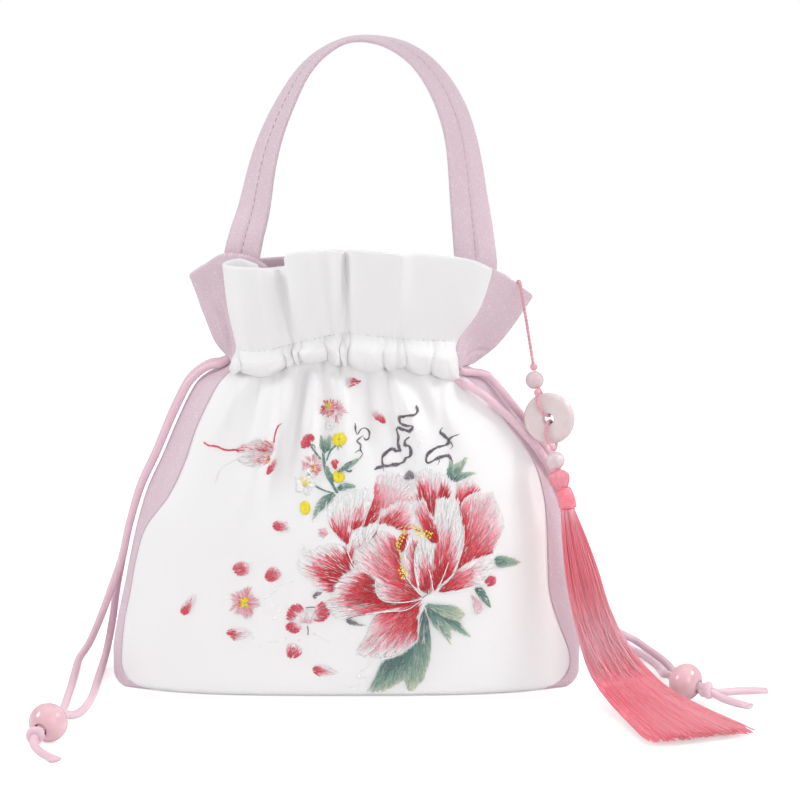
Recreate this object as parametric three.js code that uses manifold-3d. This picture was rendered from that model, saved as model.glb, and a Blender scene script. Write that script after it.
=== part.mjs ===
// Embroidered drawstring purse with a wrist handle, knotted cords and a jade pendant with a tassel.
// Millimetres. +Z is up, the front faces -Y, and the purse stands on Z = 0.
import * as THREE from 'three';
import { mergeVertices } from 'three/addons/utils/BufferGeometryUtils.js';
import Module from 'manifold-3d';

const wasm = await Module();
wasm.setup();

// Bag body
const HALF_WIDTH = 107;
const HALF_DEPTH = 40;
const BODY_HEIGHT = 148;
const CLOTH = 1.8;
const SEAM_GAP = 0.45;
const BASE_ROUND = 4;
const PANEL_CORNER = 10;
const PANEL_FOOT = 2;
const BASE_EDGE_SHARE = 0.2;
const FOLD_START = 0.05;

// Gathered top
const CASING_HALF_WIDTH = 50;
const CASING_DEPTH = 26.1;
const FRILL_SHARE = 1.338;
const FRILL_TOP = FRILL_SHARE * BODY_HEIGHT;
const PUFF = 2.6;
const FRILL_CLOTH = 1.8;

// Handle
const STRAP_WIDTH = 18;
const STRAP_CLOTH = 2.4;

// Drawstrings, beads and knots
const CORD_DIAMETER = 3.6;
const BEAD_RADIUS = 8.2;
const BEAD_HOLE_RADIUS = 2.9;
const BEAD_FIT = 0.35;
const TAIL_RADIUS = 2.1;

// Pendant
const THREAD_RADIUS = 0.9;
const SMALL_BEAD_RADIUS = 4;
const SMALL_BEAD_HOLE = 1.4;
const DISC_RADIUS = 11.4;
const DISC_THICKNESS = 5.4;
const DISC_HOLE = 2.2;

// Tassel
const TASSEL_HEAD_RADIUS = 4.4;
const LOCK_WIDTH = 4.6;
const LOCK_THICKNESS = 3.2;

// Rows that the panels and the gusset share, so that their seams meet: heights as shares of
// BODY_HEIGHT, shares of the turn round the panels' lower corners, and columns along the base.
const PANEL_TOP = 1.015;
const SIDE_HEIGHTS = [0.99, 0.93, 0.86, 0.78, 0.69, 0.6, 0.5, 0.4, 0.3, 0.19];
const CORNER_SHARES = [0, 0.33, 0.67, 1];
const PANEL_COLUMNS = 24;

// Sections of the body: height as a share of BODY_HEIGHT, widths of HALF_WIDTH, depth of HALF_DEPTH.
const BODY_SECTIONS = [
  { height: 0.00, left: 1.000, right: 0.990, seamLeft: 0.956, seamRight: 0.935, depth: 0.88, square: 3.0 },
  { height: 0.10, left: 1.001, right: 0.993, seamLeft: 0.950, seamRight: 0.940, depth: 0.95, square: 2.9 },
  { height: 0.20, left: 0.978, right: 0.980, seamLeft: 0.937, seamRight: 0.893, depth: 1.00, square: 2.7 },
  { height: 0.30, left: 0.947, right: 0.961, seamLeft: 0.908, seamRight: 0.850, depth: 1.02, square: 2.6 },
  { height: 0.40, left: 0.918, right: 0.942, seamLeft: 0.882, seamRight: 0.841, depth: 1.02, square: 2.5 },
  { height: 0.50, left: 0.885, right: 0.918, seamLeft: 0.835, seamRight: 0.836, depth: 1.00, square: 2.5 },
  { height: 0.60, left: 0.841, right: 0.886, seamLeft: 0.735, seamRight: 0.822, depth: 0.95, square: 2.4 },
  { height: 0.70, left: 0.776, right: 0.826, seamLeft: 0.667, seamRight: 0.778, depth: 0.88, square: 2.4 },
  { height: 0.80, left: 0.716, right: 0.738, seamLeft: 0.620, seamRight: 0.684, depth: 0.79, square: 2.4 },
  { height: 0.90, left: 0.648, right: 0.634, seamLeft: 0.554, seamRight: 0.580, depth: 0.68, square: 2.6 },
  { height: 0.94, left: 0.602, right: 0.580, seamLeft: 0.520, seamRight: 0.520, depth: 0.62, square: 2.8 },
  { height: 0.98, left: 0.500, right: 0.480, seamLeft: 0.465, seamRight: 0.445, depth: 0.55, square: 3.0 },
  { height: 1.03, left: 0.440, right: 0.430, seamLeft: 0.410, seamRight: 0.400, depth: 0.50, square: 3.2 },
];

// Folds that hang from the casing: across as a share of HALF_WIDTH at the top and at the foot,
// foot height as a share of BODY_HEIGHT, width and rise as shares of HALF_DEPTH.
const BODY_FOLDS = [
  { top: -0.37, foot: -0.62, footHeight: 0.72, width: 0.17, rise: 0.07 },
  { top: -0.235, foot: -0.42, footHeight: 0.55, width: 0.12, rise: 0.14 },
  { top: -0.17, foot: -0.22, footHeight: 0.66, width: 0.08, rise: -0.06 },
  { top: -0.11, foot: -0.16, footHeight: 0.64, width: 0.10, rise: 0.09 },
  { top: -0.02, foot: -0.01, footHeight: 0.72, width: 0.08, rise: 0.07 },
  { top: 0.08, foot: 0.12, footHeight: 0.70, width: 0.10, rise: -0.05 },
  { top: 0.19, foot: 0.34, footHeight: 0.74, width: 0.12, rise: 0.08 },
  { top: 0.30, foot: 0.52, footHeight: 0.76, width: 0.16, rise: 0.05 },
];

// Pleats of the front frill from its left end to its right end. Across is a share of
// CASING_HALF_WIDTH, out of CASING_DEPTH, and heights are shares of FRILL_TOP.
const FRONT_PLEATS = [
  { low: [-0.98, 0.56, 0.742], stitch: [-0.90, 0.56, 0.786], top: [-0.76, 0.66, 0.962], puff: 0 },
  { low: [-1.02, 0.68, 0.740], stitch: [-0.94, 0.66, 0.785], top: [-0.92, 0.58, 0.973], puff: 0 },
  { low: [-1.01, 0.84, 0.736], stitch: [-0.95, 0.82, 0.783], top: [-1.06, 0.88, 0.968], puff: 0.3 },
  { low: [-0.90, 0.94, 0.730], stitch: [-0.85, 0.98, 0.778], top: [-0.94, 1.24, 0.964], puff: 0.9 },
  { low: [-0.70, 0.95, 0.727], stitch: [-0.68, 1.00, 0.780], top: [-0.76, 1.28, 0.963], puff: 1 },
  { low: [-0.55, 0.92, 0.735], stitch: [-0.55, 0.97, 0.787], top: [-0.67, 1.12, 0.960], puff: 0.6 },
  { low: [-0.48, 0.89, 0.748], stitch: [-0.48, 0.88, 0.790], top: [-0.59, 0.86, 0.958], puff: 0 },
  { low: [-0.42, 0.92, 0.753], stitch: [-0.43, 0.96, 0.794], top: [-0.52, 1.02, 0.965], puff: 0.6 },
  { low: [-0.30, 0.96, 0.758], stitch: [-0.33, 1.02, 0.801], top: [-0.50, 1.26, 0.991], puff: 1 },
  { low: [-0.19, 0.93, 0.757], stitch: [-0.21, 1.00, 0.808], top: [-0.33, 1.33, 0.998], puff: 0.6 },
  { low: [-0.13, 0.90, 0.754], stitch: [-0.13, 0.94, 0.812], top: [-0.17, 1.36, 1.001], puff: 0 },
  { low: [-0.06, 0.93, 0.750], stitch: [-0.06, 1.00, 0.816], top: [-0.04, 1.36, 1.002], puff: 0.6 },
  { low: [0.00, 0.90, 0.746], stitch: [0.00, 0.90, 0.817], top: [0.01, 1.20, 0.998], puff: 0 },
  { low: [0.07, 0.94, 0.742], stitch: [0.07, 1.01, 0.817], top: [0.07, 1.37, 1.002], puff: 0.7 },
  { low: [0.22, 0.97, 0.738], stitch: [0.22, 1.04, 0.813], top: [0.26, 1.39, 0.999], puff: 1 },
  { low: [0.38, 0.94, 0.740], stitch: [0.40, 1.00, 0.808], top: [0.42, 1.33, 0.995], puff: 0.6 },
  { low: [0.45, 0.90, 0.743], stitch: [0.46, 0.95, 0.806], top: [0.51, 1.27, 0.992], puff: 0 },
  { low: [0.53, 0.93, 0.738], stitch: [0.54, 1.00, 0.804], top: [0.62, 1.34, 0.992], puff: 0.7 },
  { low: [0.73, 0.95, 0.727], stitch: [0.73, 1.00, 0.802], top: [0.88, 1.36, 0.987], puff: 1 },
  { low: [0.92, 0.88, 0.719], stitch: [0.90, 0.92, 0.799], top: [1.12, 1.26, 0.976], puff: 0.5 },
  { low: [1.00, 0.76, 0.716], stitch: [0.98, 0.80, 0.796], top: [1.27, 1.10, 0.958], puff: 0 },
];

// Pleats of the back frill, in the same shares, with out measured to the back.
const BACK_PLEATS = [
  { low: [0.98, 0.72, 0.735], stitch: [0.94, 0.70, 0.795], top: [1.12, 0.98, 0.925], puff: 0 },
  { low: [0.80, 0.94, 0.735], stitch: [0.78, 0.96, 0.795], top: [0.95, 1.20, 0.930], puff: 0.8 },
  { low: [0.58, 0.92, 0.738], stitch: [0.57, 0.96, 0.797], top: [0.68, 1.12, 0.932], puff: 0.6 },
  { low: [0.46, 0.90, 0.742], stitch: [0.46, 0.90, 0.800], top: [0.54, 1.00, 0.930], puff: 0 },
  { low: [0.25, 0.96, 0.742], stitch: [0.25, 1.00, 0.803], top: [0.32, 1.24, 0.934], puff: 1 },
  { low: [0.05, 0.90, 0.745], stitch: [0.06, 0.90, 0.803], top: [0.10, 1.06, 0.932], puff: 0 },
  { low: [-0.15, 0.96, 0.745], stitch: [-0.15, 1.00, 0.803], top: [-0.16, 1.24, 0.934], puff: 1 },
  { low: [-0.36, 0.90, 0.742], stitch: [-0.36, 0.90, 0.800], top: [-0.42, 1.06, 0.930], puff: 0 },
  { low: [-0.58, 0.96, 0.738], stitch: [-0.56, 0.99, 0.797], top: [-0.66, 1.18, 0.928], puff: 1 },
  { low: [-0.80, 0.92, 0.735], stitch: [-0.76, 0.94, 0.793], top: [-0.84, 1.12, 0.924], puff: 0.6 },
  { low: [-0.98, 0.72, 0.735], stitch: [-0.90, 0.72, 0.788], top: [-0.94, 0.96, 0.918], puff: 0 },
];

// Guides of the pink side pieces from the front seam to the back seam, in the same shares:
// across of CASING_HALF_WIDTH, back of CASING_DEPTH, height of FRILL_TOP.
const LEFT_WING = [
  { low: [-1.00, -0.50, 0.750], waist: [-0.90, -0.47, 0.788], middle: [-0.84, -0.47, 0.87], top: [-0.70, -0.48, 0.957] },
  { low: [-1.03, -0.38, 0.750], waist: [-1.00, -0.38, 0.786], middle: [-0.98, -0.43, 0.87], top: [-0.86, -0.44, 0.977] },
  { low: [-1.05, -0.26, 0.750], waist: [-1.05, -0.28, 0.785], middle: [-1.08, -0.34, 0.87], top: [-1.08, -0.36, 0.980] },
  { low: [-1.07, -0.12, 0.750], waist: [-1.09, -0.16, 0.784], middle: [-1.15, -0.20, 0.86], top: [-1.24, -0.24, 0.956] },
  { low: [-1.08, 0.00, 0.750], waist: [-1.18, 0.00, 0.782], middle: [-1.28, -0.02, 0.85], top: [-1.39, -0.10, 0.930] },
  { low: [-1.07, 0.16, 0.750], waist: [-1.10, 0.18, 0.784], middle: [-1.18, 0.18, 0.86], top: [-1.26, 0.12, 0.944] },
  { low: [-1.05, 0.36, 0.750], waist: [-1.00, 0.40, 0.786], middle: [-0.92, 0.40, 0.87], top: [-0.88, 0.38, 0.958] },
  { low: [-1.01, 0.54, 0.750], waist: [-0.90, 0.56, 0.788], middle: [-0.74, 0.55, 0.87], top: [-0.55, 0.54, 0.964] },
];

const RIGHT_WING = [
  { low: [1.02, -0.70, 0.738], waist: [0.995, -0.745, 0.790], middle: [1.12, -0.88, 0.87], top: [1.29, -1.04, 0.954] },
  { low: [1.06, -0.46, 0.737], waist: [1.07, -0.50, 0.790], middle: [1.21, -0.62, 0.86], top: [1.39, -0.72, 0.938] },
  { low: [1.11, -0.30, 0.735], waist: [1.19, -0.30, 0.786], middle: [1.34, -0.36, 0.84], top: [1.51, -0.42, 0.914] },
  { low: [1.15, -0.10, 0.734], waist: [1.33, -0.10, 0.770], middle: [1.48, -0.12, 0.82], top: [1.655, -0.14, 0.884] },
  { low: [1.13, 0.12, 0.735], waist: [1.30, 0.16, 0.775], middle: [1.46, 0.16, 0.82], top: [1.60, 0.14, 0.890] },
  { low: [1.07, 0.40, 0.738], waist: [1.10, 0.42, 0.785], middle: [1.22, 0.48, 0.85], top: [1.38, 0.50, 0.920] },
  { low: [1.02, 0.60, 0.740], waist: [0.98, 0.62, 0.790], middle: [1.08, 0.76, 0.87], top: [1.20, 0.86, 0.940] },
];

// Handle: the line of the strap's middle, and the turn of its face towards the front in degrees.
const HANDLE_LINE = [
  { at: [-45.6, -5.0, 174], turn: 60 },
  { at: [-46.2, -5.0, 190], turn: 59 },
  { at: [-43.9, -4.2, 202], turn: 54 },
  { at: [-40.6, -3.0, 213.5], turn: 48 },
  { at: [-36.4, -1.0, 233.6], turn: 38 },
  { at: [-32.0, 0.0, 247.5], turn: 31 },
  { at: [-25.5, 0.0, 261.6], turn: 24 },
  { at: [-18.0, 0.0, 274.0], turn: 16 },
  { at: [-9.0, 0.0, 282.5], turn: 9 },
  { at: [2.0, 0.0, 287.6], turn: 4 },
  { at: [14.8, -0.5, 287.4], turn: 8 },
  { at: [27.0, -1.5, 282.8], turn: 18 },
  { at: [37.1, -2.5, 274.0], turn: 28 },
  { at: [45.5, -4.0, 260.4], turn: 38 },
  { at: [51.0, -6.0, 243.0], turn: 46 },
  { at: [54.3, -9.0, 218.0], turn: 60 },
  { at: [56.8, -13.0, 196.0], turn: 74 },
  { at: [57.1, -14.2, 188.0], turn: 78 },
  { at: [56.0, -14.4, 177.0], turn: 78 },
];

// Drawstring strands, from the casing to the bead.
const LEFT_CORD_FRONT = [
  [-55.9, -8.0, 145.8], [-60.4, -6.4, 144.8], [-65.4, -5.6, 141.9], [-70.4, -6.0, 136.8], [-74.5, -6.0, 129.2],
  [-79.3, -5.5, 119.2], [-85.4, -5.4, 105.2], [-93.0, -5.4, 89.1], [-98.5, -5.3, 71.7], [-102.2, -4.2, 56.6],
  [-107.6, -0.5, 42.0], [-114.4, 7.0, 25.0], [-121.0, 14.0, 10.6], [-125.6, 12.0, 3.6], [-125.0, -5.4, 1.95],
  [-123.5, -25.7, 1.95], [-122.7, -39.8, 1.95], [-121.9, -56.0, 2.0], [-121.6, -70.0, 4.2], [-121.1, -84.0, 7.6],
]
const LEFT_CORD_BACK = [
  [-56.0, -2.4, 146.2], [-60.8, -0.4, 145.2], [-66.0, 0.4, 142.2], [-70.8, 0.4, 137.6], [-74.9, 0.4, 130.4],
  [-79.8, 0.4, 120.0], [-86.0, 0.4, 105.3], [-93.6, 0.4, 89.1], [-98.9, 0.6, 71.8], [-102.6, 2.4, 56.4],
  [-106.4, 6.4, 40.0], [-109.6, 10.6, 22.0], [-112.6, 12.6, 8.4], [-113.8, 8.0, 3.0], [-113.7, -1.0, 1.95],
  [-112.9, -18.6, 1.95], [-112.0, -37.0, 1.95], [-112.4, -50.0, 1.95], [-114.0, -62.0, 2.4], [-116.0, -73.0, 5.0],
  [-116.7, -82.7, 8.8],
]
const RIGHT_CORD_FRONT = [
  [51.6, -20.8, 138.4], [56.6, -21.6, 136.6], [61.2, -20.9, 133.6], [66.8, -19.6, 128.6], [74.2, -17.0, 121.3],
  [83.2, -14.6, 111.4], [91.2, -12.3, 100.1], [97.8, -8.9, 86.7], [101.8, -4.3, 72.6], [104.6, 0.6, 58.0],
  [108.2, 8.0, 42.0], [113.2, 19.0, 27.0], [119.6, 31.0, 17.0], [127.6, 38.6, 9.0], [136.8, 40.8, 3.6],
  [142.4, 30.2, 1.95], [146.9, 15.0, 1.95], [149.4, -1.1, 2.2], [148.8, -16.0, 4.6], [145.8, -30.4, 8.0],
]
const RIGHT_CORD_BACK = [
  [51.8, -16.0, 143.4], [57.0, -12.8, 142.8], [62.8, -10.2, 141.0], [68.0, -10.7, 135.5], [72.8, -10.6, 129.6],
  [79.2, -9.5, 121.5], [86.5, -7.7, 111.5], [93.4, -5.4, 100.2], [98.8, -2.1, 86.8], [102.0, 3.0, 72.6],
  [104.4, 10.0, 57.0], [107.4, 20.0, 40.0], [111.6, 32.0, 24.0], [117.6, 42.0, 12.6], [124.8, 47.6, 5.2],
  [129.2, 43.8, 2.3], [133.2, 33.9, 1.95], [138.8, 21.3, 1.95], [142.9, 8.0, 1.95], [144.0, -5.4, 2.6],
  [143.2, -17.0, 5.2], [141.8, -28.4, 8.6],
]

// Stopper beads: centre, and the way out of the hole towards the knot.
const LEFT_BEAD_AT = [-122.0, -91.8, 8.3];
const LEFT_BEAD_WAY = [-0.34, -0.92, -0.19];
const RIGHT_BEAD_AT = [150.2, -38.0, 8.3];
const RIGHT_BEAD_WAY = [0.80, -0.58, -0.14];

// Loose ends beyond the knots: lines of hand-set points that start inside the knot.
const LEFT_TAILS = [
  [[-125.6, -101.6, 6.4], [-125.6, -106.4, 4.4], [-121.8, -112.6, 3.0], [-114.2, -121.6, 2.9]],
]
const RIGHT_TAILS = [
  [[158.6, -43.6, 6.0], [164.4, -39.6, 4.0], [175.2, -34.4, 3.0], [187.1, -33.6, 2.9]],
  [[158.6, -44.4, 5.6], [164.8, -46.8, 3.8], [170.4, -51.0, 3.0], [175.6, -55.6, 2.9]],
]

// Pendant: places along its thread from the wing's edge down to the tassel.
const PENDANT_HOOK = [[75.6, -3.6, 176.0], [76.0, -6.4, 181.8], [76.8, -11.6, 182.2], [77.9, -14.6, 175.0]];
const PENDANT_DROP = [[79.8, -15.6, 164.1], [81.6, -16.6, 153.2], [82.6, -18.0, 145.2]];
const UPPER_BEAD_AT = [83.2, -18.8, 140.2];
const DISC_AT = [89.7, -20.6, 123.4];
const DISC_TURN = -18;
const LOWER_BEAD_AT = [92.2, -27.0, 105.8];
const TASSEL_HEAD_AT = [93.8, -28.4, 98.4];
const TASSEL_WRAP_AT = [97.2, -31.0, 88.6];

// Left and right edges of the tassel's skirt, from the wrap to the tips on the floor.
const SKIRT_LEFT = [
  [95.4, -31.0, 86.0], [94.8, -33.0, 70.0], [96.6, -35.0, 55.8], [99.0, -36.0, 43.3], [102.0, -37.0, 30.6],
  [105.0, -40.0, 19.6], [108.8, -47.0, 10.6], [115.0, -62.0, 5.0], [120.4, -82.0, 3.4], [124.6, -100.0, 2.6],
];
const SKIRT_RIGHT = [
  [99.4, -31.0, 86.6], [105.6, -33.0, 75.0], [110.4, -34.5, 61.0], [114.2, -35.5, 48.0], [119.4, -37.0, 34.6],
  [125.8, -39.0, 24.4], [133.4, -42.0, 15.0], [143.0, -50.0, 8.2], [157.0, -63.0, 4.0], [171.6, -78.0, 2.6],
];
// Locks: place between the skirt's edges, layer to the front or the back, and length at the tip.
const LOCKS = [
  { place: 0.02, layer: 0.0, reach: 1.00 },
  { place: 0.18, layer: 0.5, reach: 1.02 },
  { place: 0.34, layer: -0.5, reach: 1.00 },
  { place: 0.48, layer: 0.6, reach: 1.03 },
  { place: 0.62, layer: -0.6, reach: 1.01 },
  { place: 0.76, layer: 0.6, reach: 1.03 },
  { place: 0.90, layer: -0.3, reach: 1.02 },
  { place: 1.00, layer: 0.3, reach: 0.98 },
];

const lerp = (from, to, share) => from + (to - from) * share;
const clamp01 = (value) => Math.min(1, Math.max(0, value));
const smooth = (share) => {
  const held = clamp01(share);
  return held * held * (3 - 2 * held);
};

// Smooth value of one column of a table whose rows carry a rising key.
function tableAt(rows, key, column, at) {
  const last = rows.length - 1;
  const held = Math.min(rows[last][key], Math.max(rows[0][key], at));
  let i = 0;
  while (i < last - 1 && rows[i + 1][key] < held) {
    i += 1;
  }
  const slope = (k) => {
    const low = Math.max(0, k - 1);
    const high = Math.min(last, k + 1);
    return (rows[high][column] - rows[low][column]) / (rows[high][key] - rows[low][key]);
  };
  const span = rows[i + 1][key] - rows[i][key];
  const t = (held - rows[i][key]) / span;
  const a = rows[i][column];
  const b = rows[i + 1][column];
  const m0 = slope(i) * span;
  const m1 = slope(i + 1) * span;
  const t2 = t * t;
  const t3 = t2 * t;
  return a * (2 * t3 - 3 * t2 + 1) + m0 * (t3 - 2 * t2 + t) + b * (3 * t2 - 2 * t3) + m1 * (t3 - t2);
}

// Point on a smooth open line through a list of points, share 0 to 1 along the list.
function lineAt(points, share) {
  const last = points.length - 1;
  const along = clamp01(share) * last;
  const i = Math.min(last - 1, Math.floor(along));
  const t = along - i;
  const p0 = points[Math.max(0, i - 1)];
  const p1 = points[i];
  const p2 = points[i + 1];
  const p3 = points[Math.min(last, i + 2)];
  return p1.map((value, k) => 0.5 * (2 * value + (p2[k] - p0[k]) * t
    + (2 * p0[k] - 5 * value + 4 * p2[k] - p3[k]) * t * t
    + (3 * value - p0[k] - 3 * p2[k] + p3[k]) * t * t * t));
}

// Body surface
function bodySection(z) {
  const height = z / BODY_HEIGHT;
  const pick = (column) => tableAt(BODY_SECTIONS, 'height', column, height);
  const lift = clamp01(z / BASE_ROUND);
  const tuck = BASE_ROUND * (1 - Math.sqrt(1 - (1 - lift) * (1 - lift)));
  return {
    left: pick('left') * HALF_WIDTH - tuck,
    right: pick('right') * HALF_WIDTH - tuck,
    depth: pick('depth') * HALF_DEPTH - tuck,
    square: pick('square'),
  };
}

function bodyDepth(x, z) {
  const section = bodySection(z);
  const half = x < 0 ? section.left : section.right;
  const share = Math.min(1, Math.abs(x) / half);
  return section.depth * (1 - share ** section.square) ** (1 / section.square);
}

function bodyNormal(x, y, z) {
  const shell = (px, py, pz) => {
    const section = bodySection(pz);
    const half = px < 0 ? section.left : section.right;
    return (Math.abs(px) / half) ** section.square + (Math.abs(py) / section.depth) ** section.square;
  };
  const step = 0.2;
  const normal = new THREE.Vector3(
    shell(x + step, y, z) - shell(x - step, y, z),
    shell(x, y + step, z) - shell(x, y - step, z),
    shell(x, y, z + step) - shell(x, y, Math.max(0.01, z - step)),
  );
  return normal.normalize();
}

// Height of the folds that hang from the casing, towards the front.
function foldRise(x, z) {
  const seams = seamsAt(z);
  const edge = smooth((x - seams.left) / (0.12 * HALF_WIDTH)) * smooth((seams.right - x) / (0.12 * HALF_WIDTH));
  let rise = 0;
  for (const fold of BODY_FOLDS) {
    const down = (1 - z / BODY_HEIGHT) / (1 - fold.footHeight);
    const middle = lerp(fold.top, fold.foot, down) * HALF_WIDTH;
    const width = fold.width * HALF_DEPTH * (0.8 + 0.6 * clamp01(down));
    const fade = smooth(1.25 - down) * smooth((1 - z / BODY_HEIGHT) / FOLD_START);
    rise += fold.rise * HALF_DEPTH * fade * Math.exp(-(((x - middle) / width) ** 2));
  }
  return rise * edge;
}

// Seams between the white panels and the pink gusset at one height.
function seamsAt(z) {
  const height = z / BODY_HEIGHT;
  const drop = clamp01((PANEL_CORNER - (z - PANEL_FOOT)) / PANEL_CORNER);
  const corner = PANEL_CORNER * (1 - Math.sqrt(1 - drop * drop));
  return {
    left: -tableAt(BODY_SECTIONS, 'height', 'seamLeft', height) * HALF_WIDTH + corner,
    right: tableAt(BODY_SECTIONS, 'height', 'seamRight', height) * HALF_WIDTH - corner,
  };
}

// A closed solid sheet from a grid of outer points. The outer side is the one that the cross
// product of the way along a row and the way up the rows points to.
function sheetSolid(grid, thickness, edgeNormal) {
  const rows = grid.length;
  const columns = grid[0].length;
  const normals = grid.map((row, j) => row.map((point, i) => {
    const fixed = edgeNormal ? edgeNormal(point, i, j) : null;
    if (fixed) {
      return fixed;
    }
    const along = new THREE.Vector3().subVectors(row[Math.min(columns - 1, i + 1)], row[Math.max(0, i - 1)]);
    const up = new THREE.Vector3().subVectors(grid[Math.min(rows - 1, j + 1)][i], grid[Math.max(0, j - 1)][i]);
    return along.cross(up).normalize();
  }));
  const positions = [];
  grid.forEach((row) => row.forEach((p) => positions.push(p.x, p.y, p.z)));
  grid.forEach((row, j) => row.forEach((p, i) => {
    const n = normals[j][i];
    positions.push(p.x - n.x * thickness, p.y - n.y * thickness, p.z - n.z * thickness);
  }));
  const inner = rows * columns;
  const index = [];
  const at = (j, i) => j * columns + i;
  const quad = (a, b, c, d) => index.push(a, b, c, a, c, d);
  for (let j = 0; j < rows - 1; j += 1) {
    for (let i = 0; i < columns - 1; i += 1) {
      quad(at(j, i), at(j, i + 1), at(j + 1, i + 1), at(j + 1, i));
      quad(inner + at(j, i), inner + at(j + 1, i), inner + at(j + 1, i + 1), inner + at(j, i + 1));
    }
  }
  for (let i = 0; i < columns - 1; i += 1) {
    quad(inner + at(0, i), inner + at(0, i + 1), at(0, i + 1), at(0, i));
    quad(at(rows - 1, i), at(rows - 1, i + 1), inner + at(rows - 1, i + 1), inner + at(rows - 1, i));
  }
  for (let j = 0; j < rows - 1; j += 1) {
    quad(at(j, 0), at(j + 1, 0), inner + at(j + 1, 0), inner + at(j, 0));
    quad(inner + at(j, columns - 1), inner + at(j + 1, columns - 1), at(j + 1, columns - 1), at(j, columns - 1));
  }
  const geometry = new THREE.BufferGeometry();
  geometry.setAttribute('position', new THREE.Float32BufferAttribute(positions, 3));
  geometry.setIndex(index);
  return geometry;
}

// Height of the seam as it rounds the panel's lower corner.
const cornerHeight = (share) => PANEL_FOOT + PANEL_CORNER * (1 - Math.sin(share * Math.PI / 2));

// White panel of the body, front (side -1) or back (side 1).
function panelGeometry(side, columns) {
  const sideRows = SIDE_HEIGHTS.map((height) => height * BODY_HEIGHT);
  const heights = [PANEL_TOP * BODY_HEIGHT, ...sideRows, ...CORNER_SHARES.map(cornerHeight)].reverse();
  const grid = [];
  for (const z of heights) {
    const seams = seamsAt(z);
    const row = [];
    for (let i = 0; i <= columns; i += 1) {
      const share0 = i / columns;
      const x = lerp(seams.left + SEAM_GAP / 2, seams.right - SEAM_GAP / 2, side < 0 ? share0 : 1 - share0);
      const rise = side < 0 ? foldRise(x, z) : 0.4 * foldRise(-x, z);
      row.push(new THREE.Vector3(x, side * (bodyDepth(x, z) + rise), z));
    }
    grid.push(row);
  }
  return sheetSolid(grid, CLOTH, (point, i, j) => {
    const onEdge = i === 0 || i === columns || j === 0;
    return onEdge ? bodyNormal(point.x, point.y, point.z) : null;
  });
}

// Pink gusset: down the left side, under the base and up the right side in one strip.
function gussetGeometry() {
  const acrossShares = [0, 0.05, 0.12, 0.3, 0.5, 0.7, 0.88, 0.95, 1];
  const cornerTop = PANEL_FOOT + PANEL_CORNER;
  const grid = [];
  // A row from the front seam round or under to the back seam.
  const addRow = (sign, seamX, seamZ, middleX, middleZ) => {
    const shape = bodySection(Math.max(seamZ, BASE_ROUND));
    const half = sign < 0 ? shape.left : shape.right;
    const seamDepth = bodyDepth(seamX, seamZ);
    const seamAngle = Math.asin(clamp01((seamDepth / shape.depth) ** (shape.square / 2)));
    const fullReach = Math.abs(Math.cos(seamAngle) ** (2 / shape.square) * half - half);
    grid.push(acrossShares.map((share) => {
      const toMiddle = share < 0.5 ? share * 2 : (1 - share) * 2;
      const angle = seamAngle * (1 - toMiddle);
      const bulge = fullReach > 0.01
        ? (Math.cos(angle) ** (2 / shape.square) * half - (half - fullReach)) / fullReach
        : toMiddle;
      const depth = seamDepth * (Math.sin(angle) / Math.sin(seamAngle)) ** (2 / shape.square);
      const x = lerp(seamX, middleX, bulge);
      const sink = Math.max(0, 1 - toMiddle / BASE_EDGE_SHARE);
      const z = middleZ + (seamZ - middleZ) * sink * sink;
      return new THREE.Vector3(x, share < 0.5 ? -depth : depth, z);
    }));
  };
  const sideRow = (sign, height) => {
    const z = height * BODY_HEIGHT;
    const seams = seamsAt(z);
    const section = bodySection(z);
    addRow(sign, sign < 0 ? seams.left : seams.right, z, sign < 0 ? -section.left : section.right, z);
  };
  // Round the corner: the seam turns under the panel while the middle rolls onto the floor.
  const cornerRow = (sign, share) => {
    const seamZ = cornerHeight(share);
    const seams = seamsAt(seamZ);
    const section = bodySection(BASE_ROUND);
    const seamX = sign < 0 ? -seams.left : seams.right;
    const half = sign < 0 ? section.left : section.right;
    const foot = seamsAt(PANEL_FOOT);
    const flatRun = half - BASE_ROUND - (sign < 0 ? -foot.left : foot.right);
    const wallRun = cornerTop - BASE_ROUND;
    const roundRun = BASE_ROUND * Math.PI / 2;
    const run = share * (wallRun + roundRun + flatRun);
    let middleX = half;
    let middleZ = cornerTop - run;
    if (run > wallRun + roundRun) {
      middleX = half - BASE_ROUND - (run - wallRun - roundRun);
      middleZ = 0;
    } else if (run > wallRun) {
      const roll = (run - wallRun) / BASE_ROUND;
      middleX = half - BASE_ROUND * (1 - Math.cos(roll));
      middleZ = BASE_ROUND * (1 - Math.sin(roll));
    }
    addRow(sign, sign * seamX, seamZ, sign * middleX, middleZ);
  };
  SIDE_HEIGHTS.forEach((height) => sideRow(-1, height));
  CORNER_SHARES.forEach((share) => cornerRow(-1, share));
  const foot = seamsAt(PANEL_FOOT);
  for (let i = 2; i < PANEL_COLUMNS; i += 2) {
    const x = lerp(foot.left, foot.right, i / PANEL_COLUMNS);
    addRow(x < 0 ? -1 : 1, x, PANEL_FOOT, x, 0);
  }
  [...CORNER_SHARES].reverse().forEach((share) => cornerRow(1, share));
  [...SIDE_HEIGHTS].reverse().forEach((height) => sideRow(1, height));
  // Ease the strip back from the seams by its share of the gap.
  grid.forEach((row) => {
    const end = row.length - 1;
    [[0, 1], [end, end - 1]].forEach(([edge, next]) => {
      const way = new THREE.Vector3().subVectors(row[next], row[edge]);
      row[edge].addScaledVector(way.normalize(), SEAM_GAP / 2);
    });
  });
  const lastColumn = acrossShares.length - 1;
  return sheetSolid(grid, CLOTH, (point, i) => {
    const onEdge = i === 0 || i === lastColumn;
    return onEdge ? bodyNormal(point.x, point.y, point.z) : null;
  });
}

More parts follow.
